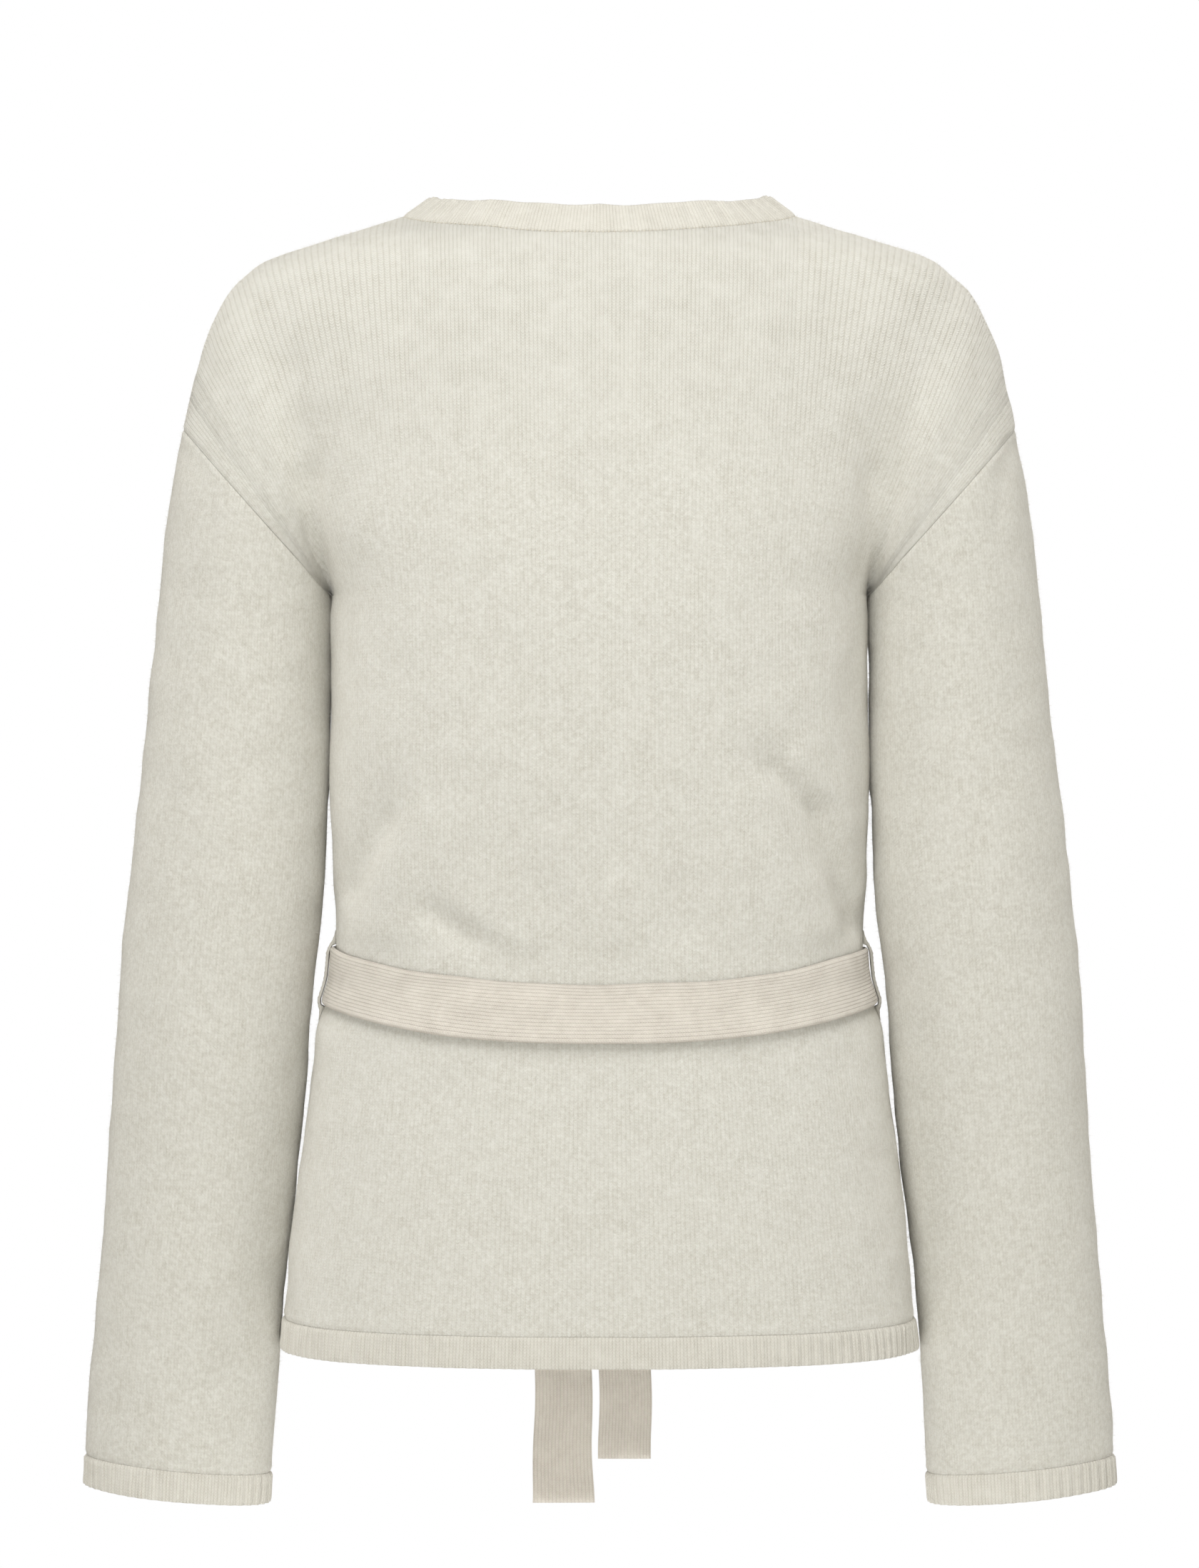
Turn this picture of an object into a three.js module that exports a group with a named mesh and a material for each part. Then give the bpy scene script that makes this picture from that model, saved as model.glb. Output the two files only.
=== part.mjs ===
// A knitted wrap cardigan, filled out as if worn, with its tie belt knotted in front.
// Millimetres. +Z is up, the front faces -Y, and +X is the wearer's left.
// The origin lies between the shoulders, level with the neck ends of the shoulder seams.
// The two fronts cross right over left, and every piece is a closed wall of cloth.

import * as THREE from 'three';

// Cloth and seams
const PANEL_WALL = 2.2;
const SEAM_GAP = 0.3;
const RIB_PITCH = 6;
const BAND_RIB_PITCH = 10;
const RIB_RISE = 0.9;

// Levels and main points
const HEM_Z = -593;
const HEM_RIB_HEIGHT = 16;
const UNDERARM = { x: 140, z: -200 };
const SHOULDER_TIP = { x: 218.2, z: -112 };
const BACK_NECK_DEPTH = 70;
const V_NECK_SLOPE = 0.4645;
const BAND_WIDTH = 19;

// How far round the waist each front reaches past the centre, as a share of the half width
const WRAP_SHARE = 0.58;
// The right front lies over the left front and its band
const WRAP_LIFT = 4.7;
const WRAP_LIFT_RUN = 30;
const WRAP_LIFT_LEAD = { waist: 3, crossing: 26 };

// Sleeve end, measured at the outer and inner edges of the arm
const CUFF_HEIGHT = 16;
const CUFF_END = { outerZ: -667, innerZ: -677 };

// Belt
const BELT_WIDTH = 30;
const BELT_THICK = 3;
const BELT_CLEARANCE = 0.6;
const BELT_SIDE_Z = -398.5;
const BELT_BACK_SAG = 16.5;
const BELT_FRONT_SAG = 5;

// The body by level: half the width, and how deep it is behind and in front of the sides
const SECTION_POWER = 2.4;
const TORSO = [
  { z: -593, halfWidth: 166.7, back: 108, front: 105 },
  { z: -540, halfWidth: 161.8, back: 105, front: 103 },
  { z: -486, halfWidth: 155.5, back: 100.5, front: 100 },
  { z: -449, halfWidth: 151, back: 97, front: 97.5 },
  { z: -426, halfWidth: 148.2, back: 94.5, front: 95.5 },
  { z: -411, halfWidth: 142.6, back: 91, front: 93 },
  { z: -398, halfWidth: 138.9, back: 88.5, front: 91 },
  { z: -384, halfWidth: 138, back: 89, front: 91.5 },
  { z: -345, halfWidth: 139.7, back: 94, front: 98 },
  { z: -300, halfWidth: 140.3, back: 99.5, front: 108 },
  { z: -250, halfWidth: 139.8, back: 104, front: 118 },
  { z: -200, halfWidth: 140, back: 106, front: 122 },
  { z: -171, halfWidth: 149.5, back: 105.5, front: 120 },
  { z: -126, halfWidth: 158.5, back: 102, front: 112 },
  { z: -81, halfWidth: 172, back: 95.5, front: 98 },
  { z: -60, halfWidth: 178, back: 91, front: 91 },
  { z: -44, halfWidth: 183, back: 86.5, front: 84.5 },
  { z: -33, halfWidth: 184.5, back: 82.5, front: 79 },
  { z: -26.8, halfWidth: 178.3, back: 79.5, front: 75 },
  { z: -21.2, halfWidth: 166.3, back: 75.5, front: 71 },
  { z: -15.6, halfWidth: 148.3, back: 70, front: 66 },
  { z: -9.9, halfWidth: 130.2, back: 57, front: 56 },
  { z: -4.3, halfWidth: 113.2, back: 40, front: 40 },
  { z: 0, halfWidth: 102.5, back: 18, front: 18 },
];

// The arm by level: its inner and outer edges, half its depth, and how far it hangs forward
const ARM = [
  { z: -680, inner: 174.4, outer: 272.6, depth: 36, forward: 14 },
  { z: -640, inner: 171.6, outer: 271, depth: 37, forward: 12 },
  { z: -593, inner: 168.6, outer: 267.1, depth: 38.5, forward: 10 },
  { z: -540, inner: 163.6, outer: 262.2, depth: 41, forward: 8 },
  { z: -486, inner: 157.4, outer: 257.4, depth: 43.5, forward: 6 },
  { z: -449, inner: 153.6, outer: 255.6, depth: 45.5, forward: 4.5 },
  { z: -411, inner: 151.2, outer: 253, depth: 47.5, forward: 3 },
  { z: -351, inner: 144.6, outer: 247.1, depth: 50.5, forward: 1.5 },
  { z: -291, inner: 142.8, outer: 240.6, depth: 51.5, forward: 0.5 },
  { z: -231, inner: 142, outer: 233.9, depth: 53, forward: 0 },
  { z: -200, inner: 140.2, outer: 230.8, depth: 55, forward: 0 },
  { z: -180, inner: 138.3, outer: 228.8, depth: 57, forward: 0 },
  { z: -150, inner: 135, outer: 225.4, depth: 59, forward: 0 },
  { z: -112, inner: 126, outer: 218.2, depth: 59, forward: 0 },
  { z: -81, inner: 115, outer: 211.3, depth: 55, forward: 0 },
  { z: -60, inner: 114, outer: 205, depth: 50, forward: 0 },
  { z: -44, inner: 122, outer: 196.9, depth: 42, forward: 0 },
  { z: -33, inner: 135, outer: 187.2, depth: 30, forward: 0 },
  { z: -24, inner: 150, outer: 172.8, depth: 0.5, forward: 0 },
];
const ARM_TOP_Z = -24;
const BLEND_POWER = 4;

// The largest soft folds: a trough from one point to another as seen from behind
const FOLDS = [
  { x0: -88, z0: -290, x1: -137, z1: -372, width: 13, depth: 4.5 },
  { x0: 108, z0: -306, x1: 134, z1: -352, width: 12, depth: 3 },
  { x0: 86, z0: -364, x1: 47, z1: -392, width: 12, depth: 3 },
  { x0: 30, z0: -352, x1: 32, z1: -392, width: 11, depth: 2.2 },
];

// Rows of the panels, from the hem seam up to the underarm
const BODY_ROWS = [-577, -540, -500, -460, -430, -414, -404, -394, -383, -360, -330, -292, -250, -205, -200];
const SHOULDER_ROWS = 8;
// Columns from the centre to the neck end of the shoulder, closer together near its end
const NECK_SHARE = 0.42;
const NECK_STEPS = [0, 0.18, 0.36, 0.53, 0.69, 0.83, 0.93, 0.98, 1];
const SHOULDER_COLUMNS = 7;
const WRAP_COLUMNS = 6;

// Cubic curve through the rows of a table, with no overshoot between them.
function tableCurve(rows, key) {
  const at = rows.map((row) => row.z);
  const value = rows.map((row) => row[key]);
  const slope = at.map((z, i) => {
    if (i === 0 || i === at.length - 1) {
      return 0;
    }
    const before = (value[i] - value[i - 1]) / (at[i] - at[i - 1]);
    const after = (value[i + 1] - value[i]) / (at[i + 1] - at[i]);
    return before * after <= 0 ? 0 : (2 * before * after) / (before + after);
  });
  slope[0] = (value[1] - value[0]) / (at[1] - at[0]);
  const last = at.length - 1;
  slope[last] = (value[last] - value[last - 1]) / (at[last] - at[last - 1]);
  return (z) => {
    if (z <= at[0]) {
      return value[0] + slope[0] * (z - at[0]);
    }
    if (z >= at[last]) {
      return value[last] + slope[last] * (z - at[last]);
    }
    let i = 0;
    while (at[i + 1] < z) {
      i += 1;
    }
    const step = at[i + 1] - at[i];
    const t = (z - at[i]) / step;
    const rise = t * t * (3 - 2 * t);
    return value[i] * (1 - rise) + value[i + 1] * rise
      + step * t * (1 - t) * ((1 - t) * slope[i] - t * slope[i + 1]);
  };
}

const torsoHalfWidth = tableCurve(TORSO, 'halfWidth');
const torsoDepth = { back: tableCurve(TORSO, 'back'), front: tableCurve(TORSO, 'front') };
const armInner = tableCurve(ARM, 'inner');
const armOuter = tableCurve(ARM, 'outer');
const armDepth = tableCurve(ARM, 'depth');
const armForward = tableCurve(ARM, 'forward');

function smoothStep(value) {
  const t = Math.min(1, Math.max(0, value));
  return t * t * (3 - 2 * t);
}

function mix(a, b, t) {
  return a + (b - a) * t;
}

// Depth of a soft trough at a point of the back, from its distance to each fold line.
function foldDepth(x, z) {
  let sum = 0;
  for (const fold of FOLDS) {
    const dx = fold.x1 - fold.x0;
    const dz = fold.z1 - fold.z0;
    const along = ((x - fold.x0) * dx + (z - fold.z0) * dz) / (dx * dx + dz * dz);
    const t = Math.min(1, Math.max(0, along));
    const away = Math.hypot(x - fold.x0 - t * dx, z - fold.z0 - t * dz) / fold.width;
    sum += fold.depth * Math.exp(-away * away);
  }
  return sum;
}

// The folds press the back in, and fade out over the last part of its depth at the sides.
const FOLD_FADE_DEPTH = 24;

function pressFolds(grid) {
  for (const point of grid.flat()) {
    if (point.y > 0 && point.z < UNDERARM.z) {
      point.y -= foldDepth(point.x, point.z) * smoothStep(point.y / FOLD_FADE_DEPTH);
    }
  }
  return grid;
}

// Distance of the garment's surface from the plane of its sides, squared.
function bodyDepthSquared(x, z, side) {
  const share = Math.abs(x) / torsoHalfWidth(z);
  const inside = Math.max(0, 1 - share ** SECTION_POWER);
  const torso = torsoDepth[side](z) * inside ** (1 / SECTION_POWER);
  if (z < UNDERARM.z || z > ARM_TOP_Z) {
    return torso * torso;
  }
  const arm = Math.sqrt(armDepthSquared(x, z));
  return (torso ** BLEND_POWER + arm ** BLEND_POWER) ** (2 / BLEND_POWER);
}

function armDepthSquared(x, z) {
  const centre = (armInner(z) + armOuter(z)) / 2;
  const half = (armOuter(z) - armInner(z)) / 2;
  const share = (Math.abs(x) - centre) / half;
  return Math.abs(share) < 1 ? armDepth(z) ** 2 * (1 - share * share) : 0;
}

// Outward direction of the surface where depthSquared gives its shape, from its slopes
// over a short step.
const SLOPE_STEP = 0.4;

function surfaceNormal(point, depthSquared, forward) {
  const h = SLOPE_STEP;
  const { x, z } = point;
  const level = (px, pz) => depthSquared(px, pz) - (point.y + forward(pz)) ** 2;
  const normal = new THREE.Vector3(
    level(x - h, z) - level(x + h, z),
    4 * h * (point.y + forward(z)),
    level(x, z - h) - level(x, z + h),
  );
  return normal.normalize();
}

const noForward = () => 0;

function bodyNormal(point) {
  const side = point.y < 0 ? 'front' : 'back';
  return surfaceNormal(point, (x, z) => bodyDepthSquared(x, z, side), noForward);
}

// The outline of the garment as seen from behind, above the underarm.
function outlineHalfWidth(z) {
  return z > ARM_TOP_Z ? torsoHalfWidth(z) : Math.max(torsoHalfWidth(z), armOuter(z));
}

// Steps in which a curve is followed to measure it
const FINE_STEPS = 400;

// Points along the shoulder outline, from the neck to the tip.
const SHOULDER_LINE = (() => {
  const points = [];
  for (let i = 0; i <= FINE_STEPS; i += 1) {
    const z = (SHOULDER_TIP.z * i) / FINE_STEPS;
    points.push(new THREE.Vector3(outlineHalfWidth(z), 0, z));
  }
  return points;
})();

// Positions along a polyline at given shares of its length.
function alongPolyline(points, shares) {
  const length = [0];
  for (let i = 1; i < points.length; i += 1) {
    length.push(length[i - 1] + points[i].distanceTo(points[i - 1]));
  }
  const total = length[length.length - 1];
  return shares.map((share) => {
    const goal = Math.min(Math.max(share, 0), 1) * total;
    let i = 0;
    while (i < points.length - 2 && length[i + 1] < goal) {
      i += 1;
    }
    const t = (goal - length[i]) / (length[i + 1] - length[i]);
    return points[i].clone().lerp(points[i + 1], t);
  });
}

// How a column of the knit leans outward above the underarm. A column is a share from
// 0 at the centre of the body to 1 at the side seam, and is negative past the centre.
const sinePower = (share) => Math.sin((Math.abs(share) * Math.PI) / 2) ** (2 / SECTION_POWER);

function columnLean(share) {
  if (share <= NECK_SHARE) {
    const neckLean = (torsoHalfWidth(0) - UNDERARM.x * sinePower(NECK_SHARE)) / -UNDERARM.z;
    return Math.max(0, share / NECK_SHARE) * neckLean;
  }
  const top = alongPolyline(SHOULDER_LINE, [(share - NECK_SHARE) / (1 - NECK_SHARE)])[0];
  return (top.x - UNDERARM.x * sinePower(share)) / (top.z - UNDERARM.z);
}

const leanOf = new Map();

function columnX(share, z) {
  if (!leanOf.has(share)) {
    leanOf.set(share, columnLean(share));
  }
  if (z <= UNDERARM.z) {
    return Math.sign(share) * torsoHalfWidth(z) * sinePower(share);
  }
  return Math.sign(share) * UNDERARM.x * sinePower(share) + leanOf.get(share) * (z - UNDERARM.z);
}

function columnPoint(share, z, side) {
  const x = columnX(share, z);
  const y = Math.sqrt(bodyDepthSquared(x, z, side));
  return new THREE.Vector3(x, side === 'front' ? -y : y, z);
}

// Level below which a test along a column holds, found by halving.
const HALVINGS = 50;

function levelWhere(test, low, high) {
  let a = low;
  let b = high;
  for (let i = 0; i < HALVINGS; i += 1) {
    const middle = (a + b) / 2;
    if (test(middle)) {
      a = middle;
    } else {
      b = middle;
    }
  }
  return (a + b) / 2;
}

function shoulderLevel(share) {
  return levelWhere((z) => columnX(share, z) < outlineHalfWidth(z), UNDERARM.z, 0);
}

const BACK_NECK_LOWEST_Z = -60;

function backNeckLevel(share) {
  const outsideNeck = (z) => {
    const { x, y } = columnPoint(share, z, 'back');
    return Math.hypot(x / torsoHalfWidth(0), y / BACK_NECK_DEPTH) > 1;
  };
  return levelWhere(outsideNeck, BACK_NECK_LOWEST_Z, 0);
}

// The front edge, where the band is sewn on, as seen from the front.
function frontEdgeX(z) {
  return torsoHalfWidth(0) + V_NECK_SLOPE * z;
}

const FRONT_EDGE_LOWEST_Z = -450;

function frontEdgeLevel(share) {
  return levelWhere((z) => columnX(share, z) > frontEdgeX(z), FRONT_EDGE_LOWEST_Z, 0);
}

const WRAP_EDGE_SHARE = (Math.asin(WRAP_SHARE ** (SECTION_POWER / 2)) * 2) / Math.PI;

// Points of one column from the underarm level up to a top level, close together near the top.
const COLUMN_STEPS = 120;

function upperColumn(share, side, top) {
  const points = [];
  for (let i = 0; i <= COLUMN_STEPS; i += 1) {
    const left = (1 - i / COLUMN_STEPS) ** 2;
    points.push(columnPoint(share, top - (top - UNDERARM.z) * left, side));
  }
  return points;
}

// The shoulder seam lies a little behind the top of the shoulder.
const SEAM_BEHIND = 14;
const SEAM_BOW_POWER = 0.7;

function shoulderSeamBehind(share) {
  const t = (share - NECK_SHARE) / (1 - NECK_SHARE);
  return SEAM_BEHIND * Math.sin(Math.PI * Math.min(1, Math.max(0, t))) ** SEAM_BOW_POWER;
}

// One column of the back and the matching one of the front, met at the shoulder seam.
function shoulderColumns(share) {
  const top = shoulderLevel(share);
  const back = upperColumn(share, 'back', top);
  back[back.length - 1].y = 0;
  const front = upperColumn(share, 'front', top).reverse();
  front[0].y = 0;
  const whole = back.concat(front.slice(1));
  const length = (points) => points.reduce((sum, p, i) => (i ? sum + p.distanceTo(points[i - 1]) : 0), 0);
  const total = length(whole);
  const seam = (length(back) - shoulderSeamBehind(share)) / total;
  const backShares = [];
  const frontShares = [];
  for (let i = 0; i <= SHOULDER_ROWS; i += 1) {
    backShares.push((seam * i) / SHOULDER_ROWS);
    frontShares.push(1 - ((1 - seam) * i) / SHOULDER_ROWS);
  }
  return { back: alongPolyline(whole, backShares), front: alongPolyline(whole, frontShares) };
}

// A panel is a grid of points: columns from the hem seam up to its top edge. Columns that
// end on the neck edge keep the spacing of the one at the neck point, from a fixed level up.
function panelColumn(share, side) {
  if (share >= NECK_SHARE) {
    const lower = BODY_ROWS.map((z) => columnPoint(share, z, side));
    return lower.concat(shoulderColumns(share)[side].slice(1));
  }
  const isBack = side === 'back';
  const foot = isBack ? UNDERARM.z : BODY_ROWS[0];
  const top = isBack ? backNeckLevel(share) : frontEdgeLevel(share);
  return NECK_POINT_LEVELS[side].map((z) => {
    return columnPoint(share, z <= foot ? z : foot + ((z - foot) * (top - foot)) / -foot, side);
  });
}

const NECK_POINT_LEVELS = {
  back: panelColumn(NECK_SHARE, 'back').map((point) => point.z),
  front: panelColumn(NECK_SHARE, 'front').map((point) => point.z),
};

// Closed wall between an outer and an inner grid of points with the same rows and columns.
function wallGeometry(outer, inner, closedRound) {
  const columns = outer.length;
  const rows = outer[0].length;
  const positions = [];
  for (const grid of [outer, inner]) {
    for (const column of grid) {
      for (const point of column) {
        positions.push(point.x, point.y, point.z);
      }
    }
  }
  const outerAt = (c, r) => (c % columns) * rows + r;
  const innerAt = (c, r) => columns * rows + (c % columns) * rows + r;
  const index = [];
  const quad = (a, b, c, d) => index.push(a, b, c, a, c, d);
  const last = closedRound ? columns : columns - 1;
  for (let c = 0; c < last; c += 1) {
    for (let r = 0; r < rows - 1; r += 1) {
      const p = outer[c][r];
      const q = outer[(c + 1) % columns][r + 1];
      const s = outer[(c + 1) % columns][r];
      const t = outer[c][r + 1];
      if (p.distanceTo(q) <= s.distanceTo(t)) {
        quad(outerAt(c, r), outerAt(c + 1, r), outerAt(c + 1, r + 1), outerAt(c, r + 1));
        quad(innerAt(c, r), innerAt(c, r + 1), innerAt(c + 1, r + 1), innerAt(c + 1, r));
      } else {
        quad(outerAt(c + 1, r), outerAt(c + 1, r + 1), outerAt(c, r + 1), outerAt(c, r));
        quad(innerAt(c + 1, r), innerAt(c, r), innerAt(c, r + 1), innerAt(c + 1, r + 1));
      }
    }
    quad(outerAt(c, 0), innerAt(c, 0), innerAt(c + 1, 0), outerAt(c + 1, 0));
    const top = rows - 1;
    quad(outerAt(c, top), outerAt(c + 1, top), innerAt(c + 1, top), innerAt(c, top));
  }
  if (!closedRound) {
    const end = columns - 1;
    for (let r = 0; r < rows - 1; r += 1) {
      quad(outerAt(0, r), outerAt(0, r + 1), innerAt(0, r + 1), innerAt(0, r));
      quad(outerAt(end, r), innerAt(end, r), innerAt(end, r + 1), outerAt(end, r + 1));
    }
  }
  return solidGeometry(positions, index);
}

// Geometry from points and triangles, turned so that its faces point out.
function solidGeometry(positions, index) {
  let volume = 0;
  const at = (i) => new THREE.Vector3(positions[3 * i], positions[3 * i + 1], positions[3 * i + 2]);
  for (let i = 0; i < index.length; i += 3) {
    volume += at(index[i]).dot(at(index[i + 1]).cross(at(index[i + 2])));
  }
  if (volume < 0) {
    for (let i = 0; i < index.length; i += 3) {
      [index[i], index[i + 1]] = [index[i + 1], index[i]];
    }
  }
  const geometry = new THREE.BufferGeometry();
  geometry.setAttribute('position', new THREE.Float32BufferAttribute(positions, 3));
  geometry.setIndex(index);
  geometry.computeVertexNormals();
  return geometry;
}

// A ribbed strip: its outer edges have a groove and a peak for each rib, its plain inside
// one point for each groove. Each entry is the strip's two edges there, or its four corners.
function ribbedGeometry(grooves, peaks, closedRound) {
  const positions = [];
  const push = (point) => {
    positions.push(point.x, point.y, point.z);
    return positions.length / 3 - 1;
  };
  const groove = grooves.map((g) => [push(g.outerA), push(g.outerB), push(g.innerA), push(g.innerB)]);
  const peak = peaks.map((p) => [push(p.outerA), push(p.outerB)]);
  const index = [];
  const quad = (a, b, c, d) => index.push(a, b, c, a, c, d);
  peak.forEach(([peakA, peakB], i) => {
    const [outA, outB, inA, inB] = groove[i];
    const [nextOutA, nextOutB, nextInA, nextInB] = groove[(i + 1) % groove.length];
    quad(outA, peakA, peakB, outB);
    quad(peakA, nextOutA, nextOutB, peakB);
    quad(inA, inB, nextInB, nextInA);
    index.push(outA, inA, peakA, peakA, inA, nextInA, peakA, nextInA, nextOutA);
    index.push(outB, peakB, inB, peakB, nextInB, inB, peakB, nextOutB, nextInB);
  });
  if (!closedRound) {
    const [outA, outB, inA, inB] = groove[0];
    quad(outA, outB, inB, inA);
    const [endOutA, endOutB, endInA, endInB] = groove[groove.length - 1];
    quad(endOutA, endInA, endInB, endOutB);
  }
  return solidGeometry(positions, index);
}

function mirrorX(points) {
  return points.map((p) => new THREE.Vector3(-p.x, p.y, p.z));
}

const cardigan = new THREE.Group();
cardigan.name = 'wrap_cardigan';

const KNIT_COLOUR = 0xe3dfd2;
const RIB_COLOUR = 0xdcd7ca;
const BELT_COLOUR = 0xdfd8c8;

function addPiece(name, geometry, colour) {
  const material = new THREE.MeshStandardMaterial({ color: colour, roughness: 0.95, metalness: 0 });
  const piece = new THREE.Mesh(geometry, material);
  piece.name = name;
  cardigan.add(piece);
}

// Lift of the right front, in its own mirrored frame, where it lies over the left front.
// The lead before the edge below grows from the waist to the crossing of the fronts.
const LEAD_FROM_Z = -330;
const LEAD_RUN_Z = 110;

function wrapLift(point) {
  if (point.y > 0) {
    return 0;
  }
  const underEdge = point.z > WRAP_CORNER_Z
    ? -frontEdgeX(point.z) + BAND_WIDTH * Math.hypot(1, V_NECK_SLOPE)
    : torsoHalfWidth(point.z) * WRAP_SHARE + BAND_WIDTH;
  const rise = smoothStep((point.z - LEAD_FROM_Z) / LEAD_RUN_Z);
  const lead = mix(WRAP_LIFT_LEAD.waist, WRAP_LIFT_LEAD.crossing, rise);
  return WRAP_LIFT * smoothStep((underEdge + lead + WRAP_LIFT_RUN - point.x) / WRAP_LIFT_RUN);
}

const WRAP_CORNER_Z = frontEdgeLevel(-WRAP_EDGE_SHARE);

const HALF_GAP = SEAM_GAP / 2;

// The seam between a panel's free edge and the band: each point with the outward
// direction of the cloth, and the direction across the band, away from the panel.
function bandSeam(points) {
  const last = points.length - 1;
  return points.map((point, i) => {
    const normal = bodyNormal(point);
    const tangent = points[Math.min(last, i + 1)].clone().sub(points[Math.max(0, i - 1)]);
    if (i === last) {
      tangent.set(-1, 0, 0);
    }
    const across = new THREE.Vector3().crossVectors(normal, tangent).normalize();
    return { point, normal, across };
  });
}

// The armhole seam lies in a plane through the underarm and the shoulder tip.
const UNDERARM_INNER = new THREE.Vector3(0.41, 0, -0.91);
const UNDERARM_POINT = new THREE.Vector3(UNDERARM.x, 0, UNDERARM.z);
const TIP_POINT = new THREE.Vector3(SHOULDER_TIP.x, 0, SHOULDER_TIP.z);
const SEAM_DIRECTION = TIP_POINT.clone().sub(UNDERARM_POINT).normalize();
const ARMHOLE_FACING = new THREE.Vector3(-SEAM_DIRECTION.z, 0, SEAM_DIRECTION.x);

function inPlane(normal, planeNormal) {
  return normal.clone().addScaledVector(planeNormal, -normal.dot(planeNormal)).normalize();
}

const steps = (count) => Array.from({ length: count }, (_, i) => (i + 1) / count);
const bodyShares = NECK_STEPS.map((step) => step * NECK_SHARE)
  .concat(steps(SHOULDER_COLUMNS).map((step) => mix(NECK_SHARE, 1, step)));
const wrapShares = steps(WRAP_COLUMNS).map((step) => -WRAP_EDGE_SHARE * step).reverse();
const frontShares = wrapShares.concat(bodyShares);
const backColumns = bodyShares.map((share) => panelColumn(share, 'back'));
const frontColumns = frontShares.map((share) => panelColumn(share, 'front'));
const topOf = (column) => column[column.length - 1];

// The band's seam on the wearer's left: up the front edge, along the neck to the centre back.
const hemCorner = columnPoint(-WRAP_EDGE_SHARE, HEM_Z, 'front');
const frontEdge = frontColumns[0].slice(0, -1);
const vEdge = frontColumns.slice(0, frontShares.indexOf(NECK_SHARE) + 1).map(topOf);
const backEdge = backColumns.slice(0, bodyShares.indexOf(NECK_SHARE)).map(topOf).reverse();
const seam = bandSeam([hemCorner, ...frontEdge, ...vEdge, ...backEdge]);
const seamAt = new Map(seam.map((entry) => [entry.point, entry]));

// The columns meet the shoulder seam at a slant, so they are drawn in by more than the gap.
const SHOULDER_GAP_SHARE = 1.4;

// Outer and inner points of a panel, its edges drawn in by half a seam gap.
function panelWall(shares, columns, side, lifted) {
  const underarmRow = BODY_ROWS.length - 1;
  const outer = [];
  const inner = [];
  columns.forEach((column, c) => {
    const atSide = shares[c] === 1;
    outer.push([]);
    inner.push([]);
    column.forEach((point, r) => {
      const place = point.clone();
      let normal = bodyNormal(point);
      if (r === 0) {
        normal.z = 0;
        normal.normalize();
        place.z += HALF_GAP;
      }
      if (atSide && r === underarmRow) {
        normal.copy(UNDERARM_INNER);
      } else if (atSide && r > underarmRow) {
        normal = inPlane(normal, ARMHOLE_FACING);
      }
      if (atSide && r >= underarmRow) {
        place.addScaledVector(ARMHOLE_FACING, HALF_GAP);
      } else if (atSide) {
        place.y += side === 'back' ? HALF_GAP : -HALF_GAP;
      }
      if (seamAt.has(point)) {
        place.addScaledVector(seamAt.get(point).across, -HALF_GAP);
      }
      if (r === column.length - 1 && shares[c] >= NECK_SHARE) {
        const down = column[r - 1].clone().sub(point).normalize();
        place.addScaledVector(down, SHOULDER_GAP_SHARE * HALF_GAP);
      }
      place.addScaledVector(normal, lifted ? wrapLift(point) : 0);
      outer[c].push(place);
      inner[c].push(place.clone().addScaledVector(normal, -PANEL_WALL));
    });
  });
  return { outer, inner };
}

// Back
const backHalf = panelWall(bodyShares, backColumns, 'back', false);
const bothSides = (grid) => grid.slice(1).map(mirrorX).reverse().concat(grid);
const backOuter = pressFolds(bothSides(backHalf.outer));
const backInner = pressFolds(bothSides(backHalf.inner));
addPiece('back_panel', wallGeometry(backOuter, backInner, false), KNIT_COLOUR);

// Fronts, the right one built in its mirror's place
const leftFront = panelWall(frontShares, frontColumns, 'front', false);
addPiece('front_left_panel', wallGeometry(leftFront.outer, leftFront.inner, false), KNIT_COLOUR);
const rightFront = panelWall(frontShares, frontColumns, 'front', true);
const rightOuter = rightFront.outer.map(mirrorX);
const rightInner = rightFront.inner.map(mirrorX);
addPiece('front_right_panel', wallGeometry(rightOuter, rightInner, false), KNIT_COLOUR);

// The band's ribs run across it. It stands steeper at the centre back than at the shoulders,
// in degrees above the level, and below them it lies on the front.
const BAND_SLOPE = { centreBack: 55, neckPoint: 37 };
const BAND_SETTLE_Z = -45;
// The band is laid on the front's surface where the cloth faces forward by at least this much
const LYING_FROM = 0.62;
const LYING_RUN = 0.25;

function bandDirection({ point, normal, across }, tangent) {
  const share = point.y > 0 ? (point.x / torsoHalfWidth(0)) ** 2 : 1;
  const slope = (Math.PI / 180) * mix(BAND_SLOPE.centreBack, BAND_SLOPE.neckPoint, share);
  const inward = new THREE.Vector3(0, 0, 1).cross(tangent).normalize();
  const standing = inward.multiplyScalar(Math.cos(slope)).add(new THREE.Vector3(0, 0, Math.sin(slope)));
  const settled = point.y > 0 ? 0 : smoothStep(point.z / BAND_SETTLE_Z);
  return inPlane(standing.lerp(across, settled), tangent);
}

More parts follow.
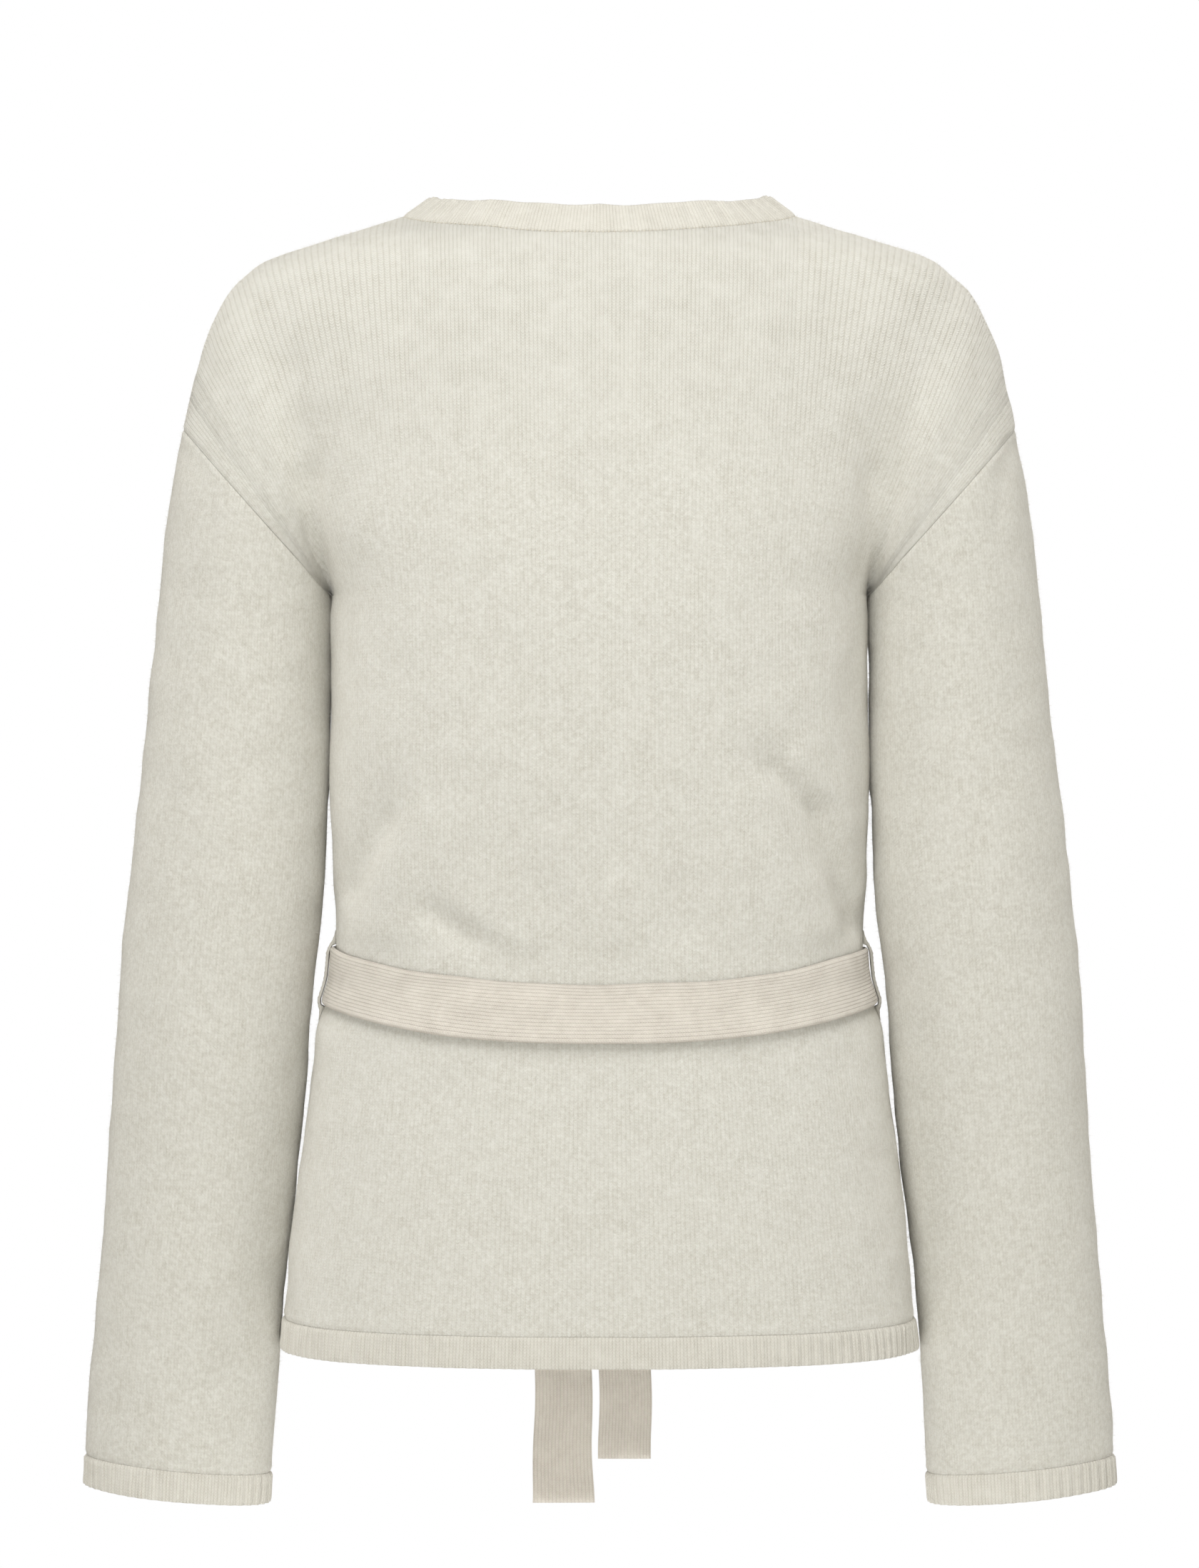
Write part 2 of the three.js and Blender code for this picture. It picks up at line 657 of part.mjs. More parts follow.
function bandSection(entry, lifted) {
  const { point, normal, across } = entry;
  const tangent = new THREE.Vector3().crossVectors(across, normal).normalize();
  const direction = bandDirection(entry, tangent);
  const facing = new THREE.Vector3().crossVectors(tangent, direction).normalize();
  const seamSide = point.clone().addScaledVector(across, HALF_GAP);
  const freeSide = point.clone().addScaledVector(direction, BAND_WIDTH);
  const lying = smoothStep((-normal.y - LYING_FROM) / LYING_RUN);
  if (lying > 0) {
    const castY = -Math.sqrt(bodyDepthSquared(freeSide.x, freeSide.z, 'front'));
    freeSide.y = mix(freeSide.y, castY, lying);
  }
  seamSide.addScaledVector(normal, lifted ? wrapLift(seamSide) : 0);
  freeSide.addScaledVector(normal, lifted ? wrapLift(freeSide) : 0);
  return { seamSide, freeSide, normal, facing };
}

function ribCorners({ seamSide, freeSide, normal, facing }, rise) {
  return {
    outerA: seamSide.clone().addScaledVector(normal, rise),
    outerB: freeSide.clone().addScaledVector(facing, rise),
    innerA: seamSide.clone().addScaledVector(normal, -PANEL_WALL),
    innerB: freeSide.clone().addScaledVector(facing, -PANEL_WALL),
  };
}

const mirrorCorners = (corners) => {
  return Object.fromEntries(Object.entries(corners).map(([key, p]) => [key, mirrorX([p])[0]]));
};

// Entries of the seam at equal distances, half a rib apart, from the hem to the centre back.
function seamStations(entries, count) {
  const length = [0];
  for (let i = 1; i < entries.length; i += 1) {
    length.push(length[i - 1] + entries[i].point.distanceTo(entries[i - 1].point));
  }
  const total = length[length.length - 1];
  const stations = [];
  let i = 0;
  for (let k = 0; k <= count; k += 1) {
    const goal = (total * k) / count;
    while (i < entries.length - 2 && length[i + 1] < goal) {
      i += 1;
    }
    const t = (goal - length[i]) / (length[i + 1] - length[i]);
    const from = entries[i];
    const to = entries[i + 1];
    stations.push({
      point: from.point.clone().lerp(to.point, t),
      normal: from.normal.clone().lerp(to.normal, t).normalize(),
      across: from.across.clone().lerp(to.across, t).normalize(),
    });
  }
  return { stations, total };
}

// The corner of the front edge at the waist falls on a rib's groove.
const cornerIndex = frontEdge.length + 1;
const bandRuns = [seam.slice(0, cornerIndex + 1), seam.slice(cornerIndex)];
const bandStations = bandRuns.flatMap((run, i) => {
  const count = 2 * Math.round(seamStations(run, 1).total / BAND_RIB_PITCH);
  return seamStations(run, count).stations.slice(i);
});
const ribRise = (k) => (k % 2 ? RIB_RISE : 0);
const leftBand = bandStations.map((entry, k) => ribCorners(bandSection(entry, false), ribRise(k)));
const rightBand = bandStations.map((entry, k) => ribCorners(bandSection(entry, true), ribRise(k)));
const wholeBand = leftBand.concat(rightBand.slice(0, -1).reverse().map(mirrorCorners));
const grooves = (corners) => corners.filter((_, k) => k % 2 === 0);
const peaks = (corners) => corners.filter((_, k) => k % 2 === 1);
addPiece('front_band', ribbedGeometry(grooves(wholeBand), peaks(wholeBand), false), RIB_COLOUR);

// Values of a parameter that part a curve into equal lengths.
function evenValues(pointAt, from, to, count) {
  const fine = FINE_STEPS;
  const points = Array.from({ length: fine + 1 }, (_, i) => pointAt(mix(from, to, i / fine)));
  const length = [0];
  for (let i = 1; i <= fine; i += 1) {
    length.push(length[i - 1] + points[i].distanceTo(points[i - 1]));
  }
  const total = length[fine];
  const parts = count || 2 * Math.round(total / RIB_PITCH);
  let i = 0;
  return Array.from({ length: parts + 1 }, (_, k) => {
    const goal = (total * k) / parts;
    while (i < fine - 1 && length[i + 1] < goal) {
      i += 1;
    }
    return mix(from, to, (i + (goal - length[i]) / (length[i + 1] - length[i])) / fine);
  });
}

// Hem ribs: upright strips below the panels, their ends drawn in at the side seams and the band.
function hemRib(name, fromShare, side, lifted) {
  const middle = HEM_Z + HEM_RIB_HEIGHT / 2;
  const shares = evenValues((share) => columnPoint(share, middle, side), fromShare, 1);
  const corners = shares.map((share, k) => {
    const entry = {};
    for (const [letter, z] of [['A', HEM_Z], ['B', BODY_ROWS[0] - HALF_GAP]]) {
      const place = columnPoint(share, z, side);
      const normal = bodyNormal(place);
      normal.z = 0;
      normal.normalize();
      place.addScaledVector(normal, lifted ? wrapLift(place) : 0);
      if (Math.abs(share) === 1) {
        place.y += side === 'back' ? HALF_GAP : -HALF_GAP;
      } else if (share === fromShare) {
        place.x += HALF_GAP;
      }
      entry[`outer${letter}`] = place.clone().addScaledVector(normal, ribRise(k));
      entry[`inner${letter}`] = place.clone().addScaledVector(normal, -PANEL_WALL);
    }
    return lifted ? mirrorCorners(entry) : entry;
  });
  addPiece(name, ribbedGeometry(grooves(corners), peaks(corners), false), RIB_COLOUR);
}

hemRib('hem_rib_back', -1, 'back', false);
hemRib('hem_rib_left', -WRAP_EDGE_SHARE, 'front', false);
hemRib('hem_rib_right', -WRAP_EDGE_SHARE, 'front', true);

// A point of the arm on the slanted ring between an outer and an inner level. The angle
// starts at the outer edge and turns by way of the back.
function armPoint(outerZ, innerZ, angle) {
  const along = (1 + Math.cos(angle)) / 2;
  const x = mix(armInner(innerZ), armOuter(outerZ), along);
  const z = mix(innerZ, outerZ, along);
  const y = Math.sign(Math.sin(angle)) * Math.sqrt(armDepthSquared(x, z));
  return new THREE.Vector3(x, y - armForward(z), z);
}

// Direction square to a slanted ring, toward the shoulder.
function ringFacing(outerZ, innerZ) {
  return new THREE.Vector3(innerZ - outerZ, 0, armOuter(outerZ) - armInner(innerZ)).normalize();
}

function armNormal(point) {
  return surfaceNormal(point, armDepthSquared, armForward);
}

// Sleeves: rings that turn from the slanted armhole seam to the cuff seam
const SLEEVE_RINGS = 14;
const SLEEVE_SIDES = 22;
// Above 1 the rings lie closer together near the armhole
const SLEEVE_RING_POWER = 1.15;
const cuffSeam = { outerZ: CUFF_END.outerZ + CUFF_HEIGHT, innerZ: CUFF_END.innerZ + CUFF_HEIGHT };

function sleeveWall() {
  const outer = [];
  const inner = [];
  for (let k = 0; k < SLEEVE_SIDES; k += 1) {
    const angle = (2 * Math.PI * k) / SLEEVE_SIDES;
    outer.push([]);
    inner.push([]);
    for (let j = 0; j <= SLEEVE_RINGS; j += 1) {
      const t = (j / SLEEVE_RINGS) ** SLEEVE_RING_POWER;
      const outerZ = mix(SHOULDER_TIP.z, cuffSeam.outerZ, t);
      const innerZ = mix(UNDERARM.z, cuffSeam.innerZ, t);
      const place = armPoint(outerZ, innerZ, angle);
      let normal = armNormal(place);
      if (j === 0) {
        normal = inPlane(normal, ARMHOLE_FACING);
        place.addScaledVector(ARMHOLE_FACING, -HALF_GAP);
      } else if (j === SLEEVE_RINGS) {
        const facing = ringFacing(outerZ, innerZ);
        normal = inPlane(normal, facing);
        place.addScaledVector(facing, HALF_GAP);
      }
      outer[k].push(place);
      inner[k].push(place.clone().addScaledVector(normal, -PANEL_WALL));
    }
  }
  return { outer, inner };
}

const sleeve = sleeveWall();
addPiece('sleeve_left', wallGeometry(sleeve.outer, sleeve.inner, true), KNIT_COLOUR);
const sleeveOuter = sleeve.outer.map(mirrorX);
const sleeveInner = sleeve.inner.map(mirrorX);
addPiece('sleeve_right', wallGeometry(sleeveOuter, sleeveInner, true), KNIT_COLOUR);

// Cuffs
function cuffCorners() {
  const middle = (angle) => {
    return armPoint(CUFF_END.outerZ + CUFF_HEIGHT / 2, CUFF_END.innerZ + CUFF_HEIGHT / 2, angle);
  };
  return evenValues(middle, 0, 2 * Math.PI).slice(0, -1).map((angle, k) => {
    const entry = {};
    for (const [letter, level, gap] of [['A', CUFF_END, 0], ['B', cuffSeam, HALF_GAP]]) {
      const facing = ringFacing(level.outerZ, level.innerZ);
      const place = armPoint(level.outerZ, level.innerZ, angle);
      const normal = inPlane(armNormal(place), facing);
      place.addScaledVector(facing, -gap);
      entry[`outer${letter}`] = place.clone().addScaledVector(normal, ribRise(k));
      entry[`inner${letter}`] = place.clone().addScaledVector(normal, -PANEL_WALL);
    }
    return entry;
  });
}

const leftCuff = cuffCorners();
const rightCuff = leftCuff.map(mirrorCorners);
addPiece('cuff_left', ribbedGeometry(grooves(leftCuff), peaks(leftCuff), true), RIB_COLOUR);
addPiece('cuff_right', ribbedGeometry(grooves(rightCuff), peaks(rightCuff), true), RIB_COLOUR);

// Belt round the waist, over both fronts. It sags at the back and stands off a little there.
const BELT_COLUMNS = 28;
const BELT_ROW_OFFSETS = [-0.5, -0.17, 0.17, 0.5];
const BELT_BACK_STANDOFF = { lowerEdge: 2.75, upperEdge: 1.21 };
const BELT_FRONT_CLEARANCE = 1.3;
const BELT_STANDOFF_RISE = 2.5;
// Past the right front's edge the belt comes down to the left front again
const BELT_STEP_DOWN_X = 102;

function beltMiddle(share, side) {
  const sag = side === 'back' ? BELT_BACK_SAG : BELT_FRONT_SAG;
  return BELT_SIDE_Z - sag * Math.cos((share * Math.PI) / 2) ** 2;
}

function beltColumn(share, side) {
  const toCentre = Math.cos((share * Math.PI) / 2) ** 2;
  const inner = [];
  const outer = [];
  for (const offset of BELT_ROW_OFFSETS) {
    const point = columnPoint(share, beltMiddle(share, side) + offset * BELT_WIDTH, side);
    const normal = bodyNormal(point);
    const backStandoff = mix(BELT_BACK_STANDOFF.lowerEdge, BELT_BACK_STANDOFF.upperEdge, offset + 0.5);
    const standoff = side === 'back' ? backStandoff : BELT_FRONT_CLEARANCE;
    const stepDown = smoothStep((point.x - BELT_STEP_DOWN_X) / WRAP_LIFT_RUN);
    const lift = wrapLift(mirrorX([point])[0]) * (1 - stepDown);
    const rise = Math.min(1, BELT_STANDOFF_RISE * toCentre) * standoff;
    point.addScaledVector(normal, BELT_CLEARANCE + lift + rise);
    inner.push(point);
    outer.push(point.clone().addScaledVector(normal, BELT_THICK));
  }
  return { inner, outer };
}

const beltShares = evenValues((share) => columnPoint(share, BELT_SIDE_Z, 'back'), 1, -1, BELT_COLUMNS);
const beltColumns = beltShares.slice(0, -1).map((share) => beltColumn(share, 'back'))
  .concat(beltShares.slice(0, -1).map((share) => beltColumn(-share, 'front')));
const beltOuter = pressFolds(beltColumns.map((column) => column.outer));
const beltInner = pressFolds(beltColumns.map((column) => column.inner));
addPiece('belt_waist', wallGeometry(beltOuter, beltInner, true), BELT_COLOUR);

// The knot lies on the belt at the centre front
const KNOT = { x: 3, z: -403, halfWidth: 19, halfHeight: 17, halfDepth: 8.5, power: 2.6 };

// How far forward the knot has to lie to clear the belt's face everywhere behind it.
function knotSeat() {
  let seat = Infinity;
  for (let c = 0; c < beltOuter.length - 1; c += 1) {
    for (let r = 0; r < BELT_ROW_OFFSETS.length - 1; r += 1) {
      for (const [u, v] of [[0, 0], [0.5, 0], [0, 0.5], [0.5, 0.5]]) {
        const low = beltOuter[c][r].clone().lerp(beltOuter[c + 1][r], u);
        const high = beltOuter[c][r + 1].clone().lerp(beltOuter[c + 1][r + 1], u);
        const face = low.lerp(high, v);
        const across = Math.abs((face.x - KNOT.x) / KNOT.halfWidth) ** KNOT.power;
        const up = Math.abs((face.z - KNOT.z) / KNOT.halfHeight) ** KNOT.power;
        if (face.y < 0 && across + up < 1) {
          seat = Math.min(seat, face.y - KNOT.halfDepth * (1 - across - up) ** (1 / KNOT.power));
        }
      }
    }
  }
  return seat - SEAM_GAP;
}

const knotY = knotSeat();

const KNOT_FACETS = { round: 20, up: 12 };

function knotGeometry() {
  const sphere = new THREE.SphereGeometry(1, KNOT_FACETS.round, KNOT_FACETS.up);
  const position = sphere.getAttribute('position');
  const rounded = (value) => Math.sign(value) * Math.abs(value) ** (2 / KNOT.power);
  for (let i = 0; i < position.count; i += 1) {
    const x = KNOT.x + KNOT.halfWidth * rounded(position.getX(i));
    const y = knotY - KNOT.halfDepth * rounded(position.getZ(i));
    const z = KNOT.z + KNOT.halfHeight * rounded(position.getY(i));
    position.setXYZ(i, x, y, z);
  }
  sphere.deleteAttribute('normal');
  sphere.deleteAttribute('uv');
  return sphere;
}

addPiece('belt_knot', knotGeometry(), BELT_COLOUR);

// The belt's two ends hang from the knot, clear of the hem and of each other
const TAIL_TOP_Z = KNOT.z - KNOT.halfHeight - SEAM_GAP;
const TAIL_END_Y = -112.8;
const LONG_TAIL = [
  { z: TAIL_TOP_Z, x: 11, width: 16 },
  { z: -450, x: 16.5, width: 27 },
  { z: -520, x: 18, width: 30 },
  { z: -600, x: 19.5, width: 31 },
  { z: -655, x: 20, width: 32 },
  { z: -692, x: 20, width: 34 },
];
const SHORT_TAIL = [
  { z: TAIL_TOP_Z, x: -6, width: 14 },
  { z: -450, x: -10.5, width: 24 },
  { z: -520, x: -12.5, width: 28 },
  { z: -600, x: -14, width: 28.5 },
  { z: -668, x: -14, width: 29 },
];

function tailGeometry(rows) {
  const grid = (offset) => [-0.5, 0, 0.5].map((across) => rows.map(({ z, x, width }) => {
    const down = (TAIL_TOP_Z - z) / (TAIL_TOP_Z - HEM_Z);
    const y = mix(knotY, TAIL_END_Y, Math.min(1, down));
    return new THREE.Vector3(x + across * width, y + offset, z);
  }));
  return wallGeometry(grid(-BELT_THICK / 2), grid(BELT_THICK / 2), false);
}

addPiece('belt_tail_long', tailGeometry(LONG_TAIL), BELT_COLOUR);
addPiece('belt_tail_short', tailGeometry(SHORT_TAIL), BELT_COLOUR);

// Loops at the side seams hold the belt: each starts on the body, passes over the belt,
// and ends on the body below it. Rows give how far its inside stands off the body.
const LOOP_WIDTH = 8;
const LOOP_THICK = 1.7;
const LOOP_STANDOFF = BELT_CLEARANCE + BELT_THICK + SEAM_GAP;
const LOOP = [
  { z: -375, standoff: SEAM_GAP },
  { z: -380.5, standoff: SEAM_GAP + 0.2 },
  { z: -382.9, standoff: LOOP_STANDOFF },
  { z: -391, standoff: LOOP_STANDOFF },
  { z: -400, standoff: LOOP_STANDOFF + 0.1 },
  { z: -414, standoff: LOOP_STANDOFF + 0.1 },
  { z: -416.8, standoff: SEAM_GAP + 0.2 },
  { z: -422, standoff: SEAM_GAP },
];

function loopGeometry(sign) {
  const grid = (offset) => [-0.5, 0.5].map((across) => LOOP.map(({ z, standoff }) => {
    return new THREE.Vector3(sign * (torsoHalfWidth(z) + standoff + offset), across * LOOP_WIDTH, z);
  }));
  return wallGeometry(grid(LOOP_THICK), grid(0), false);
}

addPiece('belt_loop_left', loopGeometry(1), KNIT_COLOUR);
addPiece('belt_loop_right', loopGeometry(-1), KNIT_COLOUR);

export default cardigan;
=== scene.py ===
# A wrap cardigan in ivory brushed knit, filled out as if worn, its belt tied in front.
# The sections follow it as it is put together: back, fronts, sleeves, ribbed edges, belt.
import math

import bpy
import numpy as np
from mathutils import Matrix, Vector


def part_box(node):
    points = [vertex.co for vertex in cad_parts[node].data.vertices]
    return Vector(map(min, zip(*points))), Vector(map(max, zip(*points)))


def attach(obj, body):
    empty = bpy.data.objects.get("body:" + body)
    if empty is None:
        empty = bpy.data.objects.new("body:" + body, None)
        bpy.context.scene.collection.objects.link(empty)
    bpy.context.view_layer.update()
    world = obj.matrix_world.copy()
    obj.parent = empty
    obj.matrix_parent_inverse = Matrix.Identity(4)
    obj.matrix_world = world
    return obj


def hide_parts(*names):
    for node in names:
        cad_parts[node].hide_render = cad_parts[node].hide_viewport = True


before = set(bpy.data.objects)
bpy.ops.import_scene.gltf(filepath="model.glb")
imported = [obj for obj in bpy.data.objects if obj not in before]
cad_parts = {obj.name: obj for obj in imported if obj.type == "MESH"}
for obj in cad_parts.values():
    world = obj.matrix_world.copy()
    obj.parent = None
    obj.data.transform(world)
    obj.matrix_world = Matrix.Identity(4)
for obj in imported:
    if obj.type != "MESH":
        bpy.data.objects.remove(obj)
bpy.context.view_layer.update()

# Camera
# It stands straight behind the garment, level, 2.6 m away. The lens takes in 824 mm from
# top to bottom in the plane of the side seams, on the long side of the sensor.
VIEW_DISTANCE = 2.6
VIEW_HEIGHT = -0.2981
FRAME_LONG_SIDE = 0.8239
SENSOR = 36.0

camera_data = bpy.data.cameras.new("camera")
camera_data.sensor_width = SENSOR
camera_data.lens = SENSOR * VIEW_DISTANCE / FRAME_LONG_SIDE
camera = bpy.data.objects.new("camera", camera_data)
camera.location = (0, VIEW_DISTANCE, VIEW_HEIGHT)
camera.rotation_euler = (math.pi / 2, 0, math.pi)
bpy.context.scene.collection.objects.link(camera)
bpy.context.scene.camera = camera
bpy.context.scene.view_settings.view_transform = "Standard"

# Back
# One panel of lightly felted stockinette with dropped shoulders cut in one with it. The
# wales stand upright in the middle and lean outward over the shoulders.

# Everything is measured in millimetres here, and goes into the meshes in metres
MM = 0.001
WALL = 2.2
HEM_SEAM_Z = -577
UNDERARM_X, UNDERARM_Z = 140, -200
SHOULDER_TIP_Z = -112
NECK_DEPTH = 70
NECK_SHARE = 0.42
SECTION_POWER = 2.4
ARM_TOP_Z = -24
SHOULDER_SEAM_BEHIND = 14

# Level, half the width, and the depth behind and in front of the sides
TORSO = [
    (-593, 166.7, 108, 105),
    (-540, 161.8, 105, 103),
    (-486, 155.5, 100.5, 100),
    (-449, 151, 97, 97.5),
    (-426, 148.2, 94.5, 95.5),
    (-411, 142.6, 91, 93),
    (-398, 138.9, 88.5, 91),
    (-384, 138, 89, 91.5),
    (-345, 139.7, 94, 98),
    (-300, 140.3, 99.5, 108),
    (-250, 139.8, 104, 118),
    (-200, 140, 106, 122),
    (-171, 149.5, 105.5, 120),
    (-126, 158.5, 102, 112),
    (-81, 172, 95.5, 98),
    (-60, 178, 91, 91),
    (-44, 183, 86.5, 84.5),
    (-33, 184.5, 82.5, 79),
    (-26.8, 178.3, 79.5, 75),
    (-21.2, 166.3, 75.5, 71),
    (-15.6, 148.3, 70, 66),
    (-9.9, 130.2, 57, 56),
    (-4.3, 113.2, 40, 40),
    (0, 102.5, 18, 18),
]

# Level, inner and outer edge of the arm, half its depth, and how far it hangs forward
ARM = [
    (-680, 174.4, 272.6, 36, 14),
    (-640, 171.6, 271, 37, 12),
    (-593, 168.6, 267.1, 38.5, 10),
    (-540, 163.6, 262.2, 41, 8),
    (-486, 157.4, 257.4, 43.5, 6),
    (-449, 153.6, 255.6, 45.5, 4.5),
    (-411, 151.2, 253, 47.5, 3),
    (-351, 144.6, 247.1, 50.5, 1.5),
    (-291, 142.8, 240.6, 51.5, 0.5),
    (-231, 142, 233.9, 53, 0),
    (-200, 140.2, 230.8, 55, 0),
    (-180, 138.3, 228.8, 57, 0),
    (-150, 135, 225.4, 59, 0),
    (-112, 126, 218.2, 59, 0),
    (-81, 115, 211.3, 55, 0),
    (-60, 114, 205, 50, 0),
    (-44, 122, 196.9, 42, 0),
    (-33, 135, 187.2, 30, 0),
    (-24, 150, 172.8, 0.5, 0),
]

# The largest folds of the back, as the solids have them: from, to, width, depth
LARGE_FOLDS = [
    ((-88, -290), (-137, -372), 13, 4.5),
    ((108, -306), (134, -352), 12, 3),
    ((86, -364), (47, -392), 12, 3),
    ((30, -352), (32, -392), 11, 2.2),
]
FOLD_FADE_DEPTH = 24


def table_curve(rows, column):
    at = np.array([row[0] for row in rows], float)
    value = np.array([row[column] for row in rows], float)
    step = np.diff(at)
    grow = np.diff(value) / step
    before, after = grow[:-1], grow[1:]
    turns = before * after <= 0
    middle = np.where(turns, 0, 2 * before * after / np.where(turns, 1, before + after))
    slope = np.concatenate([grow[:1], middle, grow[-1:]])

    def curve(z):
        z = np.asarray(z, float)
        held = np.clip(z, at[0], at[-1])
        i = np.clip(np.searchsorted(at, held) - 1, 0, len(step) - 1)
        t = (held - at[i]) / step[i]
        rise = t * t * (3 - 2 * t)
        bend = step[i] * t * (1 - t) * ((1 - t) * slope[i] - t * slope[i + 1])
        beyond = np.where(z < at[0], slope[0], slope[-1]) * (z - held)
        return value[i] * (1 - rise) + value[i + 1] * rise + bend + beyond

    return curve


torso_half_width, torso_back, torso_front = (table_curve(TORSO, i) for i in (1, 2, 3))
arm_inner, arm_outer, arm_depth, arm_forward = (table_curve(ARM, i) for i in (1, 2, 3, 4))


def smooth_step(value):
    t = np.clip(value, 0, 1)
    return t * t * (3 - 2 * t)


def hump(distance, width):
    return np.exp(-((distance / width) ** 2))


def mix(a, b, t):
    return a + (b - a) * t


def unit(vectors):
    return vectors / np.maximum(np.linalg.norm(vectors, axis=-1, keepdims=True), 1e-9)


def fold_sum(folds, x, z):
    total = np.zeros(np.broadcast(x, z).shape)
    for (x0, z0), (x1, z1), width, depth in folds:
        dx, dz = x1 - x0, z1 - z0
        t = np.clip(((x - x0) * dx + (z - z0) * dz) / (dx * dx + dz * dz), 0, 1)
        away = np.hypot(x - x0 - t * dx, z - z0 - t * dz) / width
        total = total + depth * np.exp(-away * away)
    return total


def arm_depth_squared(x, z):
    middle = (arm_inner(z) + arm_outer(z)) / 2
    half = (arm_outer(z) - arm_inner(z)) / 2
    share = (np.abs(x) - middle) / half
    return arm_depth(z) ** 2 * np.clip(1 - share * share, 0, None)


def body_depth_squared(x, z, front):
    share = np.clip(np.abs(x) / torso_half_width(z), 0, 1)
    deepest = np.where(front, torso_front(z), torso_back(z))
    torso = deepest * (1 - share ** SECTION_POWER) ** (1 / SECTION_POWER)
    pressed = torso - fold_sum(LARGE_FOLDS, x, z) * smooth_step(torso / FOLD_FADE_DEPTH)
    torso = np.where(front | (z >= UNDERARM_Z), torso, pressed)
    both = np.sqrt(torso ** 4 + arm_depth_squared(x, z) ** 2)
    return np.where((z < UNDERARM_Z) | (z > ARM_TOP_Z), torso ** 2, both)


def surface_normal(points, depth_squared, forward):
    h = 0.4
    x, y, z = points[..., 0], points[..., 1], points[..., 2]

    def level(px, pz):
        return depth_squared(px, pz) - (y + forward(pz)) ** 2

    across = level(x - h, z) - level(x + h, z)
    along = level(x, z - h) - level(x, z + h)
    return unit(np.stack([across, 4 * h * (y + forward(z)), along], -1))


def body_normal(points):
    front = points[..., 1] < 0
    return surface_normal(
        points, lambda x, z: body_depth_squared(x, z, front), lambda z: np.zeros_like(z)
    )


def outline_half_width(z):
    return np.where(z > ARM_TOP_Z, torso_half_width(z), np.maximum(torso_half_width(z), arm_outer(z)))


def running_length(points):
    return np.concatenate([[0], np.cumsum(np.linalg.norm(np.diff(points, axis=0), axis=1))])


def points_at(spots, length, points):
    return np.stack([np.interp(spots, length, points[:, i]) for i in range(3)], -1)


def stacked(*values):
    return np.stack(np.broadcast_arrays(*values), -1)


def along_line(points, shares):
    length = running_length(points)
    return points_at(np.clip(shares, 0, 1) * length[-1], length, points)


shoulder_z = np.linspace(0, SHOULDER_TIP_Z, 401)
shoulder_line = np.stack([outline_half_width(shoulder_z), 0 * shoulder_z, shoulder_z], -1)


def sine_power(share):
    return np.sin(np.abs(share) * np.pi / 2) ** (2 / SECTION_POWER)


def column_lean(share):
    neck_lean = (torso_half_width(0) - UNDERARM_X * sine_power(NECK_SHARE)) / -UNDERARM_Z
    top = along_line(shoulder_line, (share - NECK_SHARE) / (1 - NECK_SHARE))
    over = (top[..., 0] - UNDERARM_X * sine_power(share)) / (top[..., 2] - UNDERARM_Z)
    return np.where(share <= NECK_SHARE, np.clip(share / NECK_SHARE, 0, None) * neck_lean, over)


def column_x(share, z):
    share, z = np.broadcast_arrays(share, z)
    low = np.sign(share) * torso_half_width(z) * sine_power(share)
    high = np.sign(share) * UNDERARM_X * sine_power(share) + column_lean(share) * (z - UNDERARM_Z)
    return np.where(z <= UNDERARM_Z, low, high)


# Points of a column: side is 1 behind and -1 in front, and hand is 1 on the wearer's left
HANDS = ((1, "left"), (-1, "right"))


def column_point(share, z, side, hand=1):
    share, z = np.broadcast_arrays(share, np.asarray(z, float))
    x = hand * column_x(share, z)
    y = side * np.sqrt(body_depth_squared(x, z, side < 0))
    return np.stack([x, y, z], -1)


def level_where(test, low, high, count):
    a, b = np.full(count, float(low)), np.full(count, float(high))
    for _ in range(50):
        middle = (a + b) / 2
        holds = test(middle)
        a, b = np.where(holds, middle, a), np.where(holds, b, middle)
    return (a + b) / 2


def back_neck_level(shares):
    def outside(z):
        point = column_point(shares, z, 1)
        return np.hypot(point[..., 0] / torso_half_width(0), point[..., 1] / NECK_DEPTH) > 1

    return level_where(outside, -60, 0, len(shares))


# Positions along a length, closer together near both its ends
EDGE_STEPS = np.array([0, 0.6, 1.2, 1.9, 2.7, 3.8])


def places(length, pitch):
    reach = EDGE_STEPS[-1]
    count = max(2, round((length - 2 * reach) / pitch))
    inside = np.linspace(reach, length - reach, count + 1)[1:-1]
    return np.concatenate([EDGE_STEPS, inside, length - EDGE_STEPS[::-1]])


def upper_columns(shares, side, hand, upward):
    count = len(shares)
    top = level_where(
        lambda z: column_x(shares, z) < outline_half_width(z), UNDERARM_Z, 0, count
    )
    left = (1 - np.linspace(0, 1, 161)) ** 2
    levels = top[:, None] - (top[:, None] - UNDERARM_Z) * left
    runs = {}
    for one in (1, -1):
        run = column_point(shares[:, None], levels, one, hand)
        run[:, -1, 1] = 0
        runs[one] = run
    result = []
    for c, share in enumerate(shares):
        whole = np.concatenate([runs[1][c], runs[-1][c][::-1][1:]])
        total = np.linalg.norm(np.diff(whole, axis=0), axis=1).sum()
        back = np.linalg.norm(np.diff(runs[1][c], axis=0), axis=1).sum()
        t = np.clip((share - NECK_SHARE) / (1 - NECK_SHARE), 0, 1)
        seam = (back - SHOULDER_SEAM_BEHIND * np.sin(np.pi * t) ** 0.7) / total
        spots = seam * upward if side > 0 else 1 - (1 - seam) * upward
        result.append(along_line(whole, spots))
    return np.array(result)


# A panel's points, column by column from the hem seam up to its top edge
ROW_PITCH = 3.2
SHOULDER_RUN = 150


